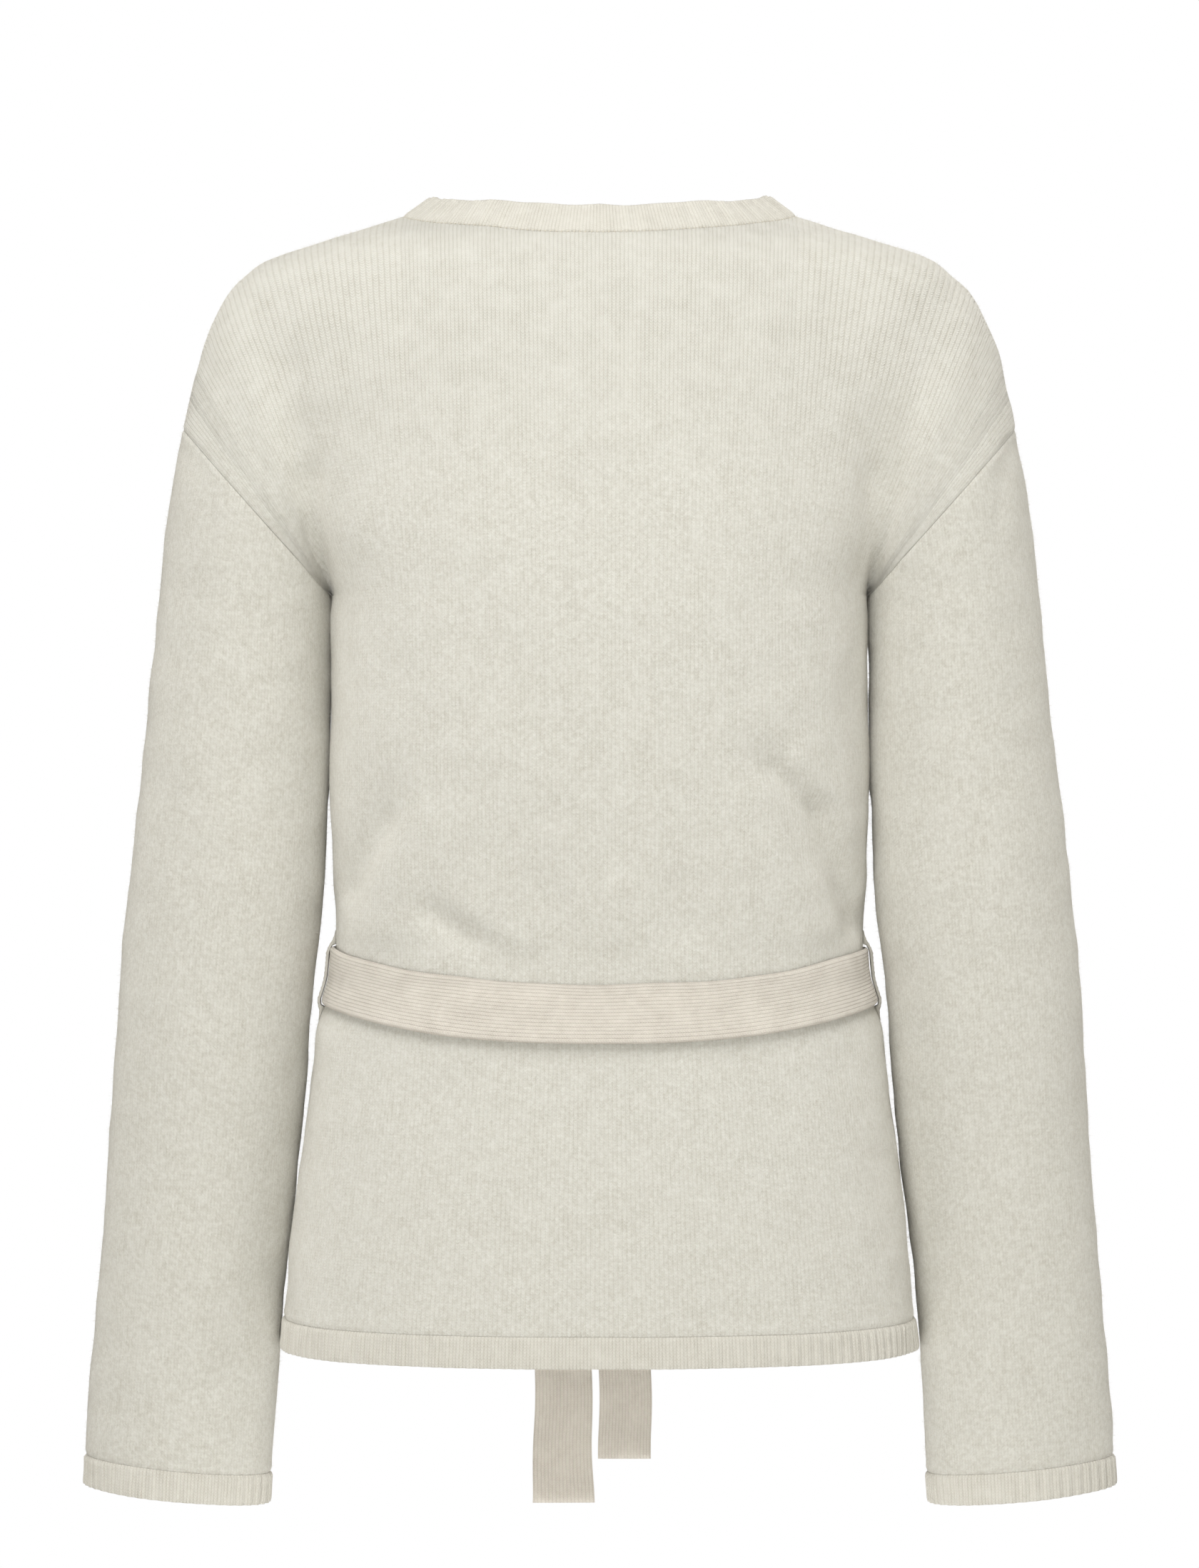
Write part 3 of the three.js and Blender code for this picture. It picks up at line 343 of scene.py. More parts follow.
def panel_points(shares, side, hand, top_level):
    lower = HEM_SEAM_Z + places(UNDERARM_Z - HEM_SEAM_Z, ROW_PITCH)
    upward = places(SHOULDER_RUN, ROW_PITCH)[len(EDGE_STEPS):] / SHOULDER_RUN
    outer = shares >= NECK_SHARE - 1e-9
    beyond = shares[outer]
    low = column_point(beyond[:, None], lower, side, hand)
    high = upper_columns(beyond, side, hand, upward)
    outer_part = np.concatenate([low, high], axis=1)
    neck = np.concatenate([lower, upper_columns(np.array([NECK_SHARE]), side, 1, upward)[0, :, 2]])
    foot = UNDERARM_Z if side > 0 else HEM_SEAM_Z
    within = shares[~outer]
    top = top_level(within)[:, None]
    levels = np.where(neck <= foot, neck, foot + (neck - foot) * (top - foot) / -foot)
    inner_part = column_point(within[:, None], levels, side, hand)
    return np.concatenate([inner_part, outer_part])


# Shares of the columns, evenly spaced round the chest, with the distance of each from the first
CHEST_Z = -250
COLUMN_PITCH = 3.2


def even_columns(start, end, side):
    fine = np.linspace(start, end, 801)
    length = running_length(column_point(fine, CHEST_Z, side))
    spots = places(length[-1], COLUMN_PITCH)
    shares = np.interp(spots, length, fine)
    shares[0], shares[-1] = start, end
    return shares, spots


# Soft folds and ridges too shallow for the solids, behind (1) and in front (-1), and on the
# sleeves. A minus depth is a ridge.
SOFT_FOLDS = {
    1: [
        ((166, -50), (160, -82), 7, 0.8),
        ((160, -82), (150, -140), 7, 1.6),
        ((150, -140), (145, -190), 6, 1.6),
        ((-141, -104), (-142, -140), 8, 1.2),
        ((-142, -140), (-139, -190), 8, 2.2),
        ((-140, -210), (-128, -262), 9, 1.4),
        ((136, -210), (126, -250), 8, 0.9),
        ((-90, -291), (-113, -312), 5.5, 3.0),
        ((-113, -312), (-133, -370), 7, 5.0),
        ((-102, -286), (-127, -318), 8, -2.2),
        ((-82, -306), (-110, -374), 12, -3.4),
        ((111, -316), (129, -352), 7, 3.6),
        ((92, -322), (110, -374), 12, -2.8),
        ((84, -364), (50, -390), 6, 2.6),
        ((66, -362), (38, -380), 8, -1.4),
        ((31, -366), (30, -386), 6, -1.6),
        ((20, -360), (18, -386), 7, 1.2),
        ((-9, -352), (-9, -384), 7, -1.8),
        ((-40, -350), (-47, -384), 8, 2.0),
        ((60, -432), (84, -470), 12, 0.7),
        ((-66, -434), (-96, -478), 12, 0.8),
        ((-10, -440), (-16, -486), 14, 0.5),
        ((118, -440), (136, -500), 12, 0.9),
        ((-122, -440), (-138, -505), 12, 0.9),
        ((-212, -122), (-205, -168), 5, 1.0),
        ((-198, -126), (-190, -160), 6, -0.5),
        ((-154, -189), (-176, -197), 4, 0.8),
        ((-152, -202), (-178, -214), 4, 0.7),
        ((160, -196), (182, -208), 5, 0.6),
        ((208, -128), (200, -172), 6, 0.6),
        ((-224, -612), (-254, -637), 8, 1.2),
        ((-196, -560), (-226, -590), 10, 0.7),
        ((190, -470), (212, -520), 12, 0.7),
        ((222, -300), (214, -372), 12, 0.6),
        ((-180, -330), (-196, -400), 12, 0.7),
        ((196, -610), (222, -634), 9, 0.8),
    ],
    -1: [
        ((-160, -82), (-150, -140), 8, 1.6),
        ((-150, -140), (-145, -190), 7, 1.8),
        ((160, -82), (150, -140), 8, 1.6),
        ((150, -140), (145, -190), 7, 1.8),
        ((-136, -214), (-110, -268), 12, 1.6),
        ((134, -214), (112, -262), 12, 1.5),
        ((-96, -250), (-60, -300), 13, 1.2),
        ((-118, -318), (-84, -372), 10, 1.8),
        ((-74, -306), (-34, -368), 11, 1.5),
        ((-40, -330), (-8, -376), 9, 1.1),
        ((112, -330), (84, -374), 10, 1.4),
        ((-100, -338), (-62, -380), 7, -0.8),
        ((40, -344), (26, -378), 8, 1.0),
        ((-62, -436), (-84, -500), 12, 1.3),
        ((-16, -440), (-24, -520), 13, 1.2),
        ((34, -440), (44, -512), 12, 1.1),
        ((-112, -440), (-130, -500), 12, 1.0),
        ((112, -438), (128, -496), 12, 0.9),
        ((-60, -120), (-30, -170), 16, 0.8),
        ((70, -110), (52, -160), 16, 0.7),
        ((-156, -190), (-178, -202), 5, 0.8),
        ((156, -192), (180, -206), 5, 0.8),
        ((-208, -126), (-200, -172), 6, 0.7),
        ((210, -124), (202, -168), 6, 0.8),
        ((-186, -350), (-204, -410), 12, 0.9),
        ((190, -342), (206, -398), 12, 0.9),
        ((-180, -378), (-226, -396), 9, 0.7),
        ((184, -366), (228, -388), 9, 0.8),
        ((-196, -580), (-226, -612), 10, 0.8),
        ((200, -586), (232, -616), 10, 0.9),
    ],
}

# Slight unevenness of the felted cloth: size of the waves, and how high they are
UNEVENNESS = [(70, 0.35), (46, 0.25), (30, 0.16), (19, 0.09), (13, 0.05)]
BELT_TRACK_Z, BELT_TRACK_REACH = -407, 19
TORSO_REACH = 150

# Just below the underarm the sleeves and the sides swell out and touch
TOUCH_LOW_Z = -312
TOUCH_SWELL = 1.2
TOUCH_DEPTH = 20
TOUCH_REACH = 165

wave_random = np.random.default_rng(11)
waves = []
for wave_size, wave_height in UNEVENNESS:
    for _ in range(5):
        heading = unit(wave_random.normal(size=3)) * 2 * np.pi / wave_size
        waves.append((heading, wave_random.uniform(0, 2 * np.pi), wave_height * 0.6))


def relief(points, normals, forward=0.0):
    x, y, z = points[..., 0], points[..., 1] + forward, points[..., 2]
    facing = smooth_step(np.abs(normals[..., 1]) / 0.45)
    folds = np.where(y > 0, fold_sum(SOFT_FOLDS[1], x, z), fold_sum(SOFT_FOLDS[-1], x, z))
    beside_belt = smooth_step((np.abs(z - BELT_TRACK_Z) - BELT_TRACK_REACH) / 16)
    off_belt = np.where(np.abs(x) < TORSO_REACH, beside_belt, 1)
    uneven = sum(height * np.sin(points @ heading + phase) for heading, phase, height in waves)
    level = smooth_step((z - TOUCH_LOW_Z) / 16) * smooth_step((UNDERARM_Z - z) / 12)
    touch = TOUCH_SWELL * level * hump(y, TOUCH_DEPTH) * (np.abs(x) < TOUCH_REACH)
    return off_belt * (0.8 * uneven - facing * folds) + touch


# A seam lies in a shallow groove, with the turned-in cloth standing up a little beside it
GROOVE_DEPTH, GROOVE_WIDTH = 0.38, 1.1
TURNING_RISE, TURNING_AWAY, TURNING_WIDTH = 0.22, 2.8, 1.5


def groove(distance):
    return GROOVE_DEPTH * hump(distance, GROOVE_WIDTH)


def seam_relief(distance):
    return TURNING_RISE * hump(distance - TURNING_AWAY, TURNING_WIDTH) - groove(distance)


def edge_distances(points):
    down = np.linalg.norm(np.diff(points, axis=1), axis=-1)
    over = np.linalg.norm(np.diff(points, axis=0), axis=-1)
    columns, rows = points.shape[:2]
    bottom = np.concatenate([np.zeros((columns, 1)), np.cumsum(down, axis=1)], axis=1)
    start = np.concatenate([np.zeros((1, rows)), np.cumsum(over, axis=0)], axis=0)
    return {"bottom": bottom, "top": bottom[:, -1:] - bottom, "start": start, "end": start[-1:] - start}


SEAM_INSET = 0.04


def inset(points, edges):
    points = points.copy()
    spots = {"bottom": (slice(None), 0, 1), "top": (slice(None), -1, -2)}
    for edge in edges:
        if edge in spots:
            every, at, beside = spots[edge]
            points[every, at] += SEAM_INSET * unit(points[every, beside] - points[every, at])
        else:
            at, beside = (0, 1) if edge == "start" else (-1, -2)
            points[at] += SEAM_INSET * unit(points[beside] - points[at])
    return points


# A closed wall of cloth between an outer and an inner grid. Its loops take their UV in
# metres: across the wales, and along them.
def cloth_wall(name, outer, inner, uv, material, nodes, closed=False):
    columns, rows = outer.shape[:2]
    spans = columns if closed else columns - 1
    c, r = np.meshgrid(np.arange(spans), np.arange(rows - 1), indexing="ij")
    s, t, top = np.arange(spans), np.arange(rows - 1), rows - 1
    sides = [
        [(c, r, 0), (c + 1, r, 0), (c + 1, r + 1, 0), (c, r + 1, 0)],
        [(c, r, 1), (c, r + 1, 1), (c + 1, r + 1, 1), (c + 1, r, 1)],
        [(s, 0, 0), (s, 0, 1), (s + 1, 0, 1), (s + 1, 0, 0)],
        [(s, top, 0), (s + 1, top, 0), (s + 1, top, 1), (s, top, 1)],
    ]
    if not closed:
        sides.append([(0, t, 0), (0, t + 1, 0), (0, t + 1, 1), (0, t, 1)])
        sides.append([(spans, t, 0), (spans, t, 1), (spans, t + 1, 1), (spans, t + 1, 0)])
    corner = np.concatenate([
        np.stack([stacked(*at) for at in side], -2).reshape(-1, 4, 3)
        for side in sides
    ])
    index = (corner[..., 2] * columns + corner[..., 0] % columns) * rows + corner[..., 1]
    points = np.concatenate([outer.reshape(-1, 3), inner.reshape(-1, 3)])
    a, b, d = (points[index[:, i]] for i in (0, 1, 2))
    if np.einsum("ij,ij->i", a, np.cross(b, d)).sum() < 0:
        index, corner = index[:, ::-1], corner[:, ::-1]
    loop_uv = uv[corner[..., 0], corner[..., 1]] + corner[..., 2:] * np.array([0, WALL])
    return add_piece(name, points, index, loop_uv, material, nodes)


def add_piece(name, points, faces, loop_uv, material, nodes):
    sides = faces.shape[1]
    mesh = bpy.data.meshes.new(name)
    mesh.vertices.add(len(points))
    mesh.vertices.foreach_set("co", (points * MM).ravel())
    mesh.loops.add(faces.size)
    mesh.loops.foreach_set("vertex_index", faces.ravel().astype(np.int32))
    mesh.polygons.add(len(faces))
    mesh.polygons.foreach_set("loop_start", np.arange(len(faces), dtype=np.int32) * sides)
    mesh.update(calc_edges=True)
    mesh.uv_layers.new(name="UVMap").data.foreach_set("uv", (loop_uv * MM).ravel())
    mesh.materials.append(material)
    mesh.shade_smooth()
    piece = bpy.data.objects.new(name, mesh)
    bpy.context.scene.collection.objects.link(piece)
    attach(piece, "root")
    if nodes:
        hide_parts(*nodes)
    return piece


def grid_uv(points, across):
    return stacked(across[:, None], edge_distances(points)["bottom"])


# The mesh of a panel, or of a closed sleeve, with its folds and seams, and its outer points
def make_panel(
    name, points, normals, across, seams, material, nodes, lift=0.0, forward=0.0, closed=False
):
    distance = edge_distances(points)
    height = relief(points, normals, forward) + lift
    edges = sum(seam_relief(distance[edge]) for edge in seams)
    place = inset(points, seams)
    outer = place + normals * (height + edges)[..., None]
    inner = place + normals * (height - WALL)[..., None]
    around = np.concatenate([points, points[:1]]) if closed else points
    uv = grid_uv(around, across)
    return cloth_wall(name, outer, inner, uv, material, nodes, closed), outer


def node(tree, kind, inputs=(), **settings):
    made = tree.nodes.new(kind)
    for key, value in settings.items():
        setattr(made, key, value)
    for key, value in dict(inputs).items():
        if isinstance(value, bpy.types.NodeSocket):
            tree.links.new(value, made.inputs[key])
        else:
            made.inputs[key].default_value = value
    return made


def maths(tree, operation, *values):
    return node(tree, "ShaderNodeMath", enumerate(values), operation=operation).outputs[0]


def vector_maths(tree, operation, inputs):
    return node(tree, "ShaderNodeVectorMath", inputs, operation=operation).outputs[0]


def noise(tree, place, scale, detail, **inputs):
    inputs = {"Vector": place, "Scale": scale, "Detail": detail, **inputs}
    return node(tree, "ShaderNodeTexNoise", inputs).outputs


def mixed(tree, share, first, second):
    inputs = {0: share, 6: first, 7: second}
    return node(tree, "ShaderNodeMix", inputs, data_type="RGBA").outputs[2]


def new_material(name):
    material = bpy.data.materials.new(name)
    material.use_nodes = True
    return material, material.node_tree, material.node_tree.nodes["Principled BSDF"]


def new_group(name, inputs, outputs):
    tree = bpy.data.node_groups.new(name, "ShaderNodeTree")
    for socket, value in inputs.items():
        kind = "NodeSocketVector" if value is None else "NodeSocketFloat"
        made = tree.interface.new_socket(socket, in_out="INPUT", socket_type=kind)
        if value is not None:
            made.default_value = value
    for socket in outputs:
        tree.interface.new_socket(socket, in_out="OUTPUT", socket_type="NodeSocketFloat")
    return tree, tree.nodes.new("NodeGroupInput").outputs, tree.nodes.new("NodeGroupOutput").inputs


# Stockinette: each wale is a column of V stitches, with a gap between neighbours
stitches, given, put = new_group(
    "stockinette",
    {"Place": None, "Wale": 0.0019, "Course": 0.0015, "Slack": 0.0004},
    ["Height", "Gap"],
)
drift = noise(stitches, given["Place"], 150.0, 2.0)["Color"]
centred = vector_maths(stitches, "SUBTRACT", {0: drift, 1: (0.5, 0.5, 0.5)})
pulled = vector_maths(stitches, "SCALE", {0: centred, "Scale": given["Slack"]})
drifted = vector_maths(stitches, "ADD", {0: given["Place"], 1: pulled})
place = node(stitches, "ShaderNodeSeparateXYZ", {0: drifted}).outputs
wale = maths(stitches, "FRACT", maths(stitches, "DIVIDE", place["X"], given["Wale"]))
from_middle = maths(stitches, "ABSOLUTE", maths(stitches, "MULTIPLY_ADD", wale, 2.0, -1.0))
ridge = maths(stitches, "SUBTRACT", 1.0, maths(stitches, "POWER", from_middle, 2.6))
leg = maths(stitches, "SINE", maths(stitches, "MULTIPLY", from_middle, math.pi))
legs = maths(stitches, "MULTIPLY", ridge, maths(stitches, "MULTIPLY_ADD", leg, 0.26, 0.74))
course = maths(stitches, "DIVIDE", place["Y"], given["Course"])
slant = maths(stitches, "MULTIPLY_ADD", from_middle, -0.85, course)
loop_wave = maths(stitches, "SINE", maths(stitches, "MULTIPLY", slant, 2 * math.pi))
loop_rise = maths(stitches, "MULTIPLY_ADD", loop_wave, 0.26, 0.74)
stitch = maths(stitches, "MULTIPLY", legs, loop_rise)
stitches.links.new(stitch, put["Height"])
stitches.links.new(maths(stitches, "SUBTRACT", 1.0, stitch), put["Gap"])

# Nap: the brushed-up fibres lie in short wisps and small flecks over the stitches
nap, given, put = new_group(
    "brushed nap",
    {"Place": None, "Where": None, "Wisp": 0.0016, "Lie": 2.4},
    ["Height", "Fleck", "Cloud"],
)
fine = maths(nap, "DIVIDE", 1.0, given["Wisp"])
stretch = node(nap, "ShaderNodeCombineXYZ", {0: 1.0, 1: given["Lie"], 2: 1.0})
lying = vector_maths(nap, "MULTIPLY", {0: given["Place"], 1: stretch.outputs[0]})
wisps = noise(nap, lying, fine, 5.0, Roughness=0.7, Distortion=0.8)[0]
tufts = noise(nap, given["Where"], 430.0, 3.0, Roughness=0.6)[0]
clouds = noise(nap, given["Where"], 95.0, 5.0, Roughness=0.7)[0]
nap.links.new(maths(nap, "MULTIPLY_ADD", tufts, 0.8, wisps), put["Height"])
mingled = maths(nap, "MULTIPLY_ADD", tufts, 0.5, maths(nap, "MULTIPLY", wisps, 0.5))
fleck = node(nap, "ShaderNodeMapRange", {0: mingled, 1: 0.4, 2: 0.6, 3: 0.0, 4: 1.0})
nap.links.new(fleck.outputs[0], put["Fleck"])
cloud = node(nap, "ShaderNodeMapRange", {0: clouds, 1: 0.3, 2: 0.72, 3: 0.0, 4: 1.0})
nap.links.new(cloud.outputs[0], put["Cloud"])


# A knit finish: yarn colours, with a darker tone that is also painted as shade into the
# gaps between the stitches, stitch size, how far the stitches and the nap stand up, and
# how clearly the stitches show at the neck and from the chest down
def knit_material(name, yarn, dark_tone_and_gap_shade, light, wale, course, stitch_rise, nap_rise, clear, lie):
    material, tree, shader = new_material(name)
    where = node(tree, "ShaderNodeTexCoord").outputs
    rows = node(tree, "ShaderNodeGroup", node_tree=stitches)
    rows.inputs["Wale"].default_value = wale
    rows.inputs["Course"].default_value = course
    fuzz = node(tree, "ShaderNodeGroup", node_tree=nap)
    fuzz.inputs["Lie"].default_value = lie
    for target in (rows.inputs["Place"], fuzz.inputs["Place"]):
        tree.links.new(where["UV"], target)
    tree.links.new(where["Object"], fuzz.inputs["Where"])
    height = node(tree, "ShaderNodeSeparateXYZ", {0: where["Object"]}).outputs["Z"]
    shown = node(
        tree, "ShaderNodeMapRange", {0: height, 1: -0.05, 2: -0.17, 3: clear[0], 4: clear[1]},
        interpolation_type="SMOOTHSTEP",
    ).outputs[0]
    patchy = maths(tree, "MULTIPLY_ADD", fuzz.outputs["Cloud"], -0.45, 1.2)
    knit = maths(tree, "MULTIPLY", shown, patchy)
    # Painted shade: where the stitches leave gaps, the colour is darkened as shadow in the recesses
    gap_shade = maths(tree, "MULTIPLY", rows.outputs["Gap"], maths(tree, "MULTIPLY", knit, 0.85))
    fleck_share = maths(tree, "MULTIPLY_ADD", shown, 1.1, -0.95)
    # The painted gap shade, plus an even share of the darker tone, more of it where the stitches show
    # less clearly
    depth = maths(tree, "ADD", gap_shade, maths(tree, "MULTIPLY_ADD", shown, -0.9, 0.8))
    gap_shade_and_flecks = maths(tree, "MULTIPLY_ADD", fuzz.outputs["Fleck"], fleck_share, depth)
    # Base colour: the yarn colour darkened by the painted gap shade, an even share of darker tone and
    # the flecks
    body = mixed(tree, gap_shade_and_flecks, (*yarn, 1), (*dark_tone_and_gap_shade, 1))
    cloudy = maths(tree, "MULTIPLY", fuzz.outputs["Cloud"], 0.25)
    tree.links.new(mixed(tree, cloudy, body, (*light, 1)), shader.inputs["Base Color"])
    rough = node(tree, "ShaderNodeMapRange", {0: fuzz.outputs["Fleck"], 3: 0.86, 4: 0.98})
    tree.links.new(rough.outputs[0], shader.inputs["Roughness"])
    raised = maths(tree, "MULTIPLY", rows.outputs["Height"], maths(tree, "MULTIPLY", knit, stitch_rise))
    surface = maths(tree, "MULTIPLY_ADD", fuzz.outputs["Height"], nap_rise, raised)
    bump = node(tree, "ShaderNodeBump", {"Strength": 1.0, "Distance": MM, "Height": surface})
    tree.links.new(bump.outputs[0], shader.inputs["Normal"])
    shader.inputs["Diffuse Roughness"].default_value = 0.8
    shader.inputs["Specular IOR Level"].default_value = 0.12
    shader.inputs["Sheen Weight"].default_value = 0.45
    shader.inputs["Sheen Roughness"].default_value = 0.5
    shader.inputs["Sheen Tint"].default_value = (1.0, 0.95, 0.85, 1.0)
    return material


body_knit = knit_material(
    "ivory brushed knit",
    yarn=(0.85, 0.842, 0.785),
    dark_tone_and_gap_shade=(0.59, 0.562, 0.485),
    light=(0.87, 0.866, 0.825),
    wale=0.002,
    course=0.0015,
    stitch_rise=0.6,
    nap_rise=0.4,
    clear=(0.8, 0.42),
    lie=2.0,
)

neck_shares, neck_spots = even_columns(0, NECK_SHARE, 1)
side_shares, side_spots = even_columns(NECK_SHARE, 1, 1)
back_shares = np.concatenate([neck_shares[:-1], side_shares])
back_spots = np.concatenate([neck_spots[:-1], neck_spots[-1] + side_spots])
ARMHOLE_SPREAD = 78.2
armhole_direction = unit(np.array([ARMHOLE_SPREAD, 0, SHOULDER_TIP_Z - UNDERARM_Z]))
ARMHOLE_FACING = np.array([-armhole_direction[2], 0, armhole_direction[0]])
UNDERARM_OUT, UNDERARM_DOWN = 0.41, -0.91


def in_plane(normals, facing):
    return unit(normals - (normals @ facing)[..., None] * facing)


# Normals of a panel: level at the hem seam, and in the plane of the armhole at its edge
def panel_normals(points, hand):
    normals = body_normal(points)
    normals[:, 0, 2] = 0
    normals[:, 0] = unit(normals[:, 0])
    facing = ARMHOLE_FACING * np.array([hand, 1, 1])
    underarm = np.argmin(np.abs(points[-1, :, 2] - UNDERARM_Z))
    normals[-1, underarm] = np.array([UNDERARM_OUT * hand, 0, UNDERARM_DOWN])
    normals[-1, underarm + 1:] = in_plane(normals[-1, underarm + 1:], facing)
    return normals


back_halves = {hand: panel_points(back_shares, 1, hand, back_neck_level) for hand in (1, -1)}
back_normals = {hand: panel_normals(back_halves[hand], hand) for hand in (1, -1)}
back_points = np.concatenate([back_halves[-1][:0:-1], back_halves[1]])
back_normal = np.concatenate([back_normals[-1][:0:-1], back_normals[1]])
back_across = np.concatenate([-back_spots[:0:-1], back_spots])
back, back_outer = make_panel(
    "knit_back",
    back_points,
    back_normal,
    back_across,
    ["bottom", "top", "start", "end"],
    body_knit,
    ["back_panel"],
)

# Fronts
# Two panels of the same knit, with a slanted edge from the neck down to the waist and an
# upright one below. The right front lies over the left one.
V_SLOPE = 0.4645
BAND_WIDTH = 19
WRAP_SHARE = 0.58
WRAP_LIFT = 4.7
WRAP_RUN = 30
LEAD_AT_WAIST, LEAD_AT_CROSSING = 3, 26
LEAD_FROM_Z, LEAD_RUN = -330, 110
WRAP_EDGE = math.asin(WRAP_SHARE ** (SECTION_POWER / 2)) * 2 / math.pi


def front_edge_x(z):
    return torso_half_width(0) + V_SLOPE * z


def front_edge_level(shares):
    return level_where(lambda z: column_x(shares, z) > front_edge_x(z), -450, 0, len(shares))


wrap_corner_z = front_edge_level(np.array([-WRAP_EDGE]))[0]


# How far the right front is lifted off the left one, at points mirrored to the left
MIRROR = np.array([-1, 1, 1])


def wrap_lift(points):
    x, y, z = points[..., 0], points[..., 1], points[..., 2]
    upper = -front_edge_x(z) + BAND_WIDTH * math.hypot(1, V_SLOPE)
    edge = np.where(z > wrap_corner_z, upper, torso_half_width(z) * WRAP_SHARE + BAND_WIDTH)
    lead = mix(LEAD_AT_WAIST, LEAD_AT_CROSSING, smooth_step((z - LEAD_FROM_Z) / LEAD_RUN))
    lift = WRAP_LIFT * smooth_step((edge + lead + WRAP_RUN - x) / WRAP_RUN)
    return np.where(y > 0, 0, lift)


inner_shares, inner_spots = even_columns(-WRAP_EDGE, NECK_SHARE, -1)
outer_shares, outer_spots = even_columns(NECK_SHARE, 1, -1)
front_shares = np.concatenate([inner_shares[:-1], outer_shares])
front_spots = np.concatenate([inner_spots[:-1], inner_spots[-1] + outer_spots])
front_shells = {}
for hand, side_name in HANDS:
    points = panel_points(front_shares, -1, hand, front_edge_level)
    normals = panel_normals(points, hand)
    lift = wrap_lift(points * MIRROR) if hand < 0 else 0.0
    front, front_shells[hand] = make_panel(
        f"knit_front_{side_name}",
        points,
        normals,
        front_spots,
        ["bottom", "top", "start", "end"],
        body_knit,
        [f"front_{side_name}_panel"],
        lift,
    )

# Sleeves
# Straight tubes of the same knit, more brushed than the body, linked to the slanted
# armholes. Their ends are cut on a slight slant for the cuffs.
CUFF_OUTER_Z, CUFF_INNER_Z = -667, -677
CUFF_HEIGHT = 16
SLEEVE_AROUND = 110
SLEEVE_LENGTH = 520

sleeve_knit = knit_material(
    "ivory brushed sleeve knit",
    yarn=(0.845, 0.836, 0.775),
    dark_tone_and_gap_shade=(0.58, 0.552, 0.475),
    light=(0.865, 0.86, 0.82),
    wale=0.002,
    course=0.0015,
    stitch_rise=0.5,
    nap_rise=0.5,
    clear=(0.5, 0.34),
    lie=2.6,
)


def arm_point(outer_z, inner_z, angle):
    along = (1 + np.cos(angle)) / 2
    x = mix(arm_inner(inner_z), arm_outer(outer_z), along)
    z = mix(inner_z, outer_z, along)
    y = np.sign(np.sin(angle)) * np.sqrt(arm_depth_squared(x, z)) - arm_forward(z)
    return stacked(x, y, z)


def ring_facing(outer_z, inner_z):
    return unit(np.array([inner_z - outer_z, 0, float(arm_outer(outer_z) - arm_inner(inner_z))]))


def arm_normal(points):
    return surface_normal(points, arm_depth_squared, arm_forward)


sleeve_down = places(SLEEVE_LENGTH, ROW_PITCH) / SLEEVE_LENGTH
sleeve_angle = 2 * np.pi * np.arange(SLEEVE_AROUND) / SLEEVE_AROUND
sleeve_points = arm_point(
    mix(SHOULDER_TIP_Z, CUFF_OUTER_Z + CUFF_HEIGHT, sleeve_down),
    mix(UNDERARM_Z, CUFF_INNER_Z + CUFF_HEIGHT, sleeve_down),
    sleeve_angle[:, None],
)
sleeve_normals = arm_normal(sleeve_points)
sleeve_normals[:, 0] = in_plane(sleeve_normals[:, 0], ARMHOLE_FACING)
sleeve_normals[:, -1] = in_plane(
    sleeve_normals[:, -1], ring_facing(CUFF_OUTER_Z + CUFF_HEIGHT, CUFF_INNER_Z + CUFF_HEIGHT)
)
middle_ring = sleeve_points[:, sleeve_points.shape[1] // 3]
ring_steps = np.linalg.norm(middle_ring - np.roll(middle_ring, 1, axis=0), axis=1)
sleeve_across = np.concatenate([[0], np.cumsum(np.roll(ring_steps, -1))])
sleeve_shells = {}
for hand, side_name in HANDS:
    sleeve, sleeve_shells[hand] = make_panel(
        f"knit_sleeve_{side_name}",
        sleeve_points * np.array([hand, 1, 1]),
        sleeve_normals * np.array([hand, 1, 1]),
        sleeve_across,
        ["bottom", "top"],
        sleeve_knit,
        [f"sleeve_{side_name}"],
        forward=arm_forward(sleeve_points[..., 2]),
        closed=True,
    )

# Hem ribs
# A short band of rib knit linked to the bottom of each panel. Ribs and grooves stand
# upright, 6 mm apart.
HEM_Z = -593
RIB_PITCH = 6
RIB_RISE = 1.15
RIB_SAMPLES = 8
FINE_STEPS = 1601

rib_knit = knit_material(
    "ivory rib knit",
    yarn=(0.85, 0.832, 0.768),
    dark_tone_and_gap_shade=(0.58, 0.548, 0.47),
    light=(0.86, 0.85, 0.795),
    wale=0.0018,
    course=0.0015,
    stitch_rise=0.45,
    nap_rise=0.28,
    clear=(0.75, 0.75),
    lie=1.2,
)


def rib_wave(turns):
    return RIB_RISE * (0.5 - 0.5 * np.cos(2 * np.pi * turns)) ** 0.8


# Outer and inner grids of a ribbed strip from its middle surface, and its mesh
def make_rib(name, points, normals, turns, uv, nodes, closed=False):
    distance = edge_distances(points)
    settle = smooth_step(distance["top"] / 1.6)
    rise = rib_wave(turns)[:, None] * settle
    edges = sum(-groove(distance[edge]) for edge in ("bottom", "top"))
    outer = points + normals * (rise + edges)[..., None]
    inner = points - normals * WALL
    return cloth_wall(name, outer, inner, uv, rib_knit, nodes, closed), outer


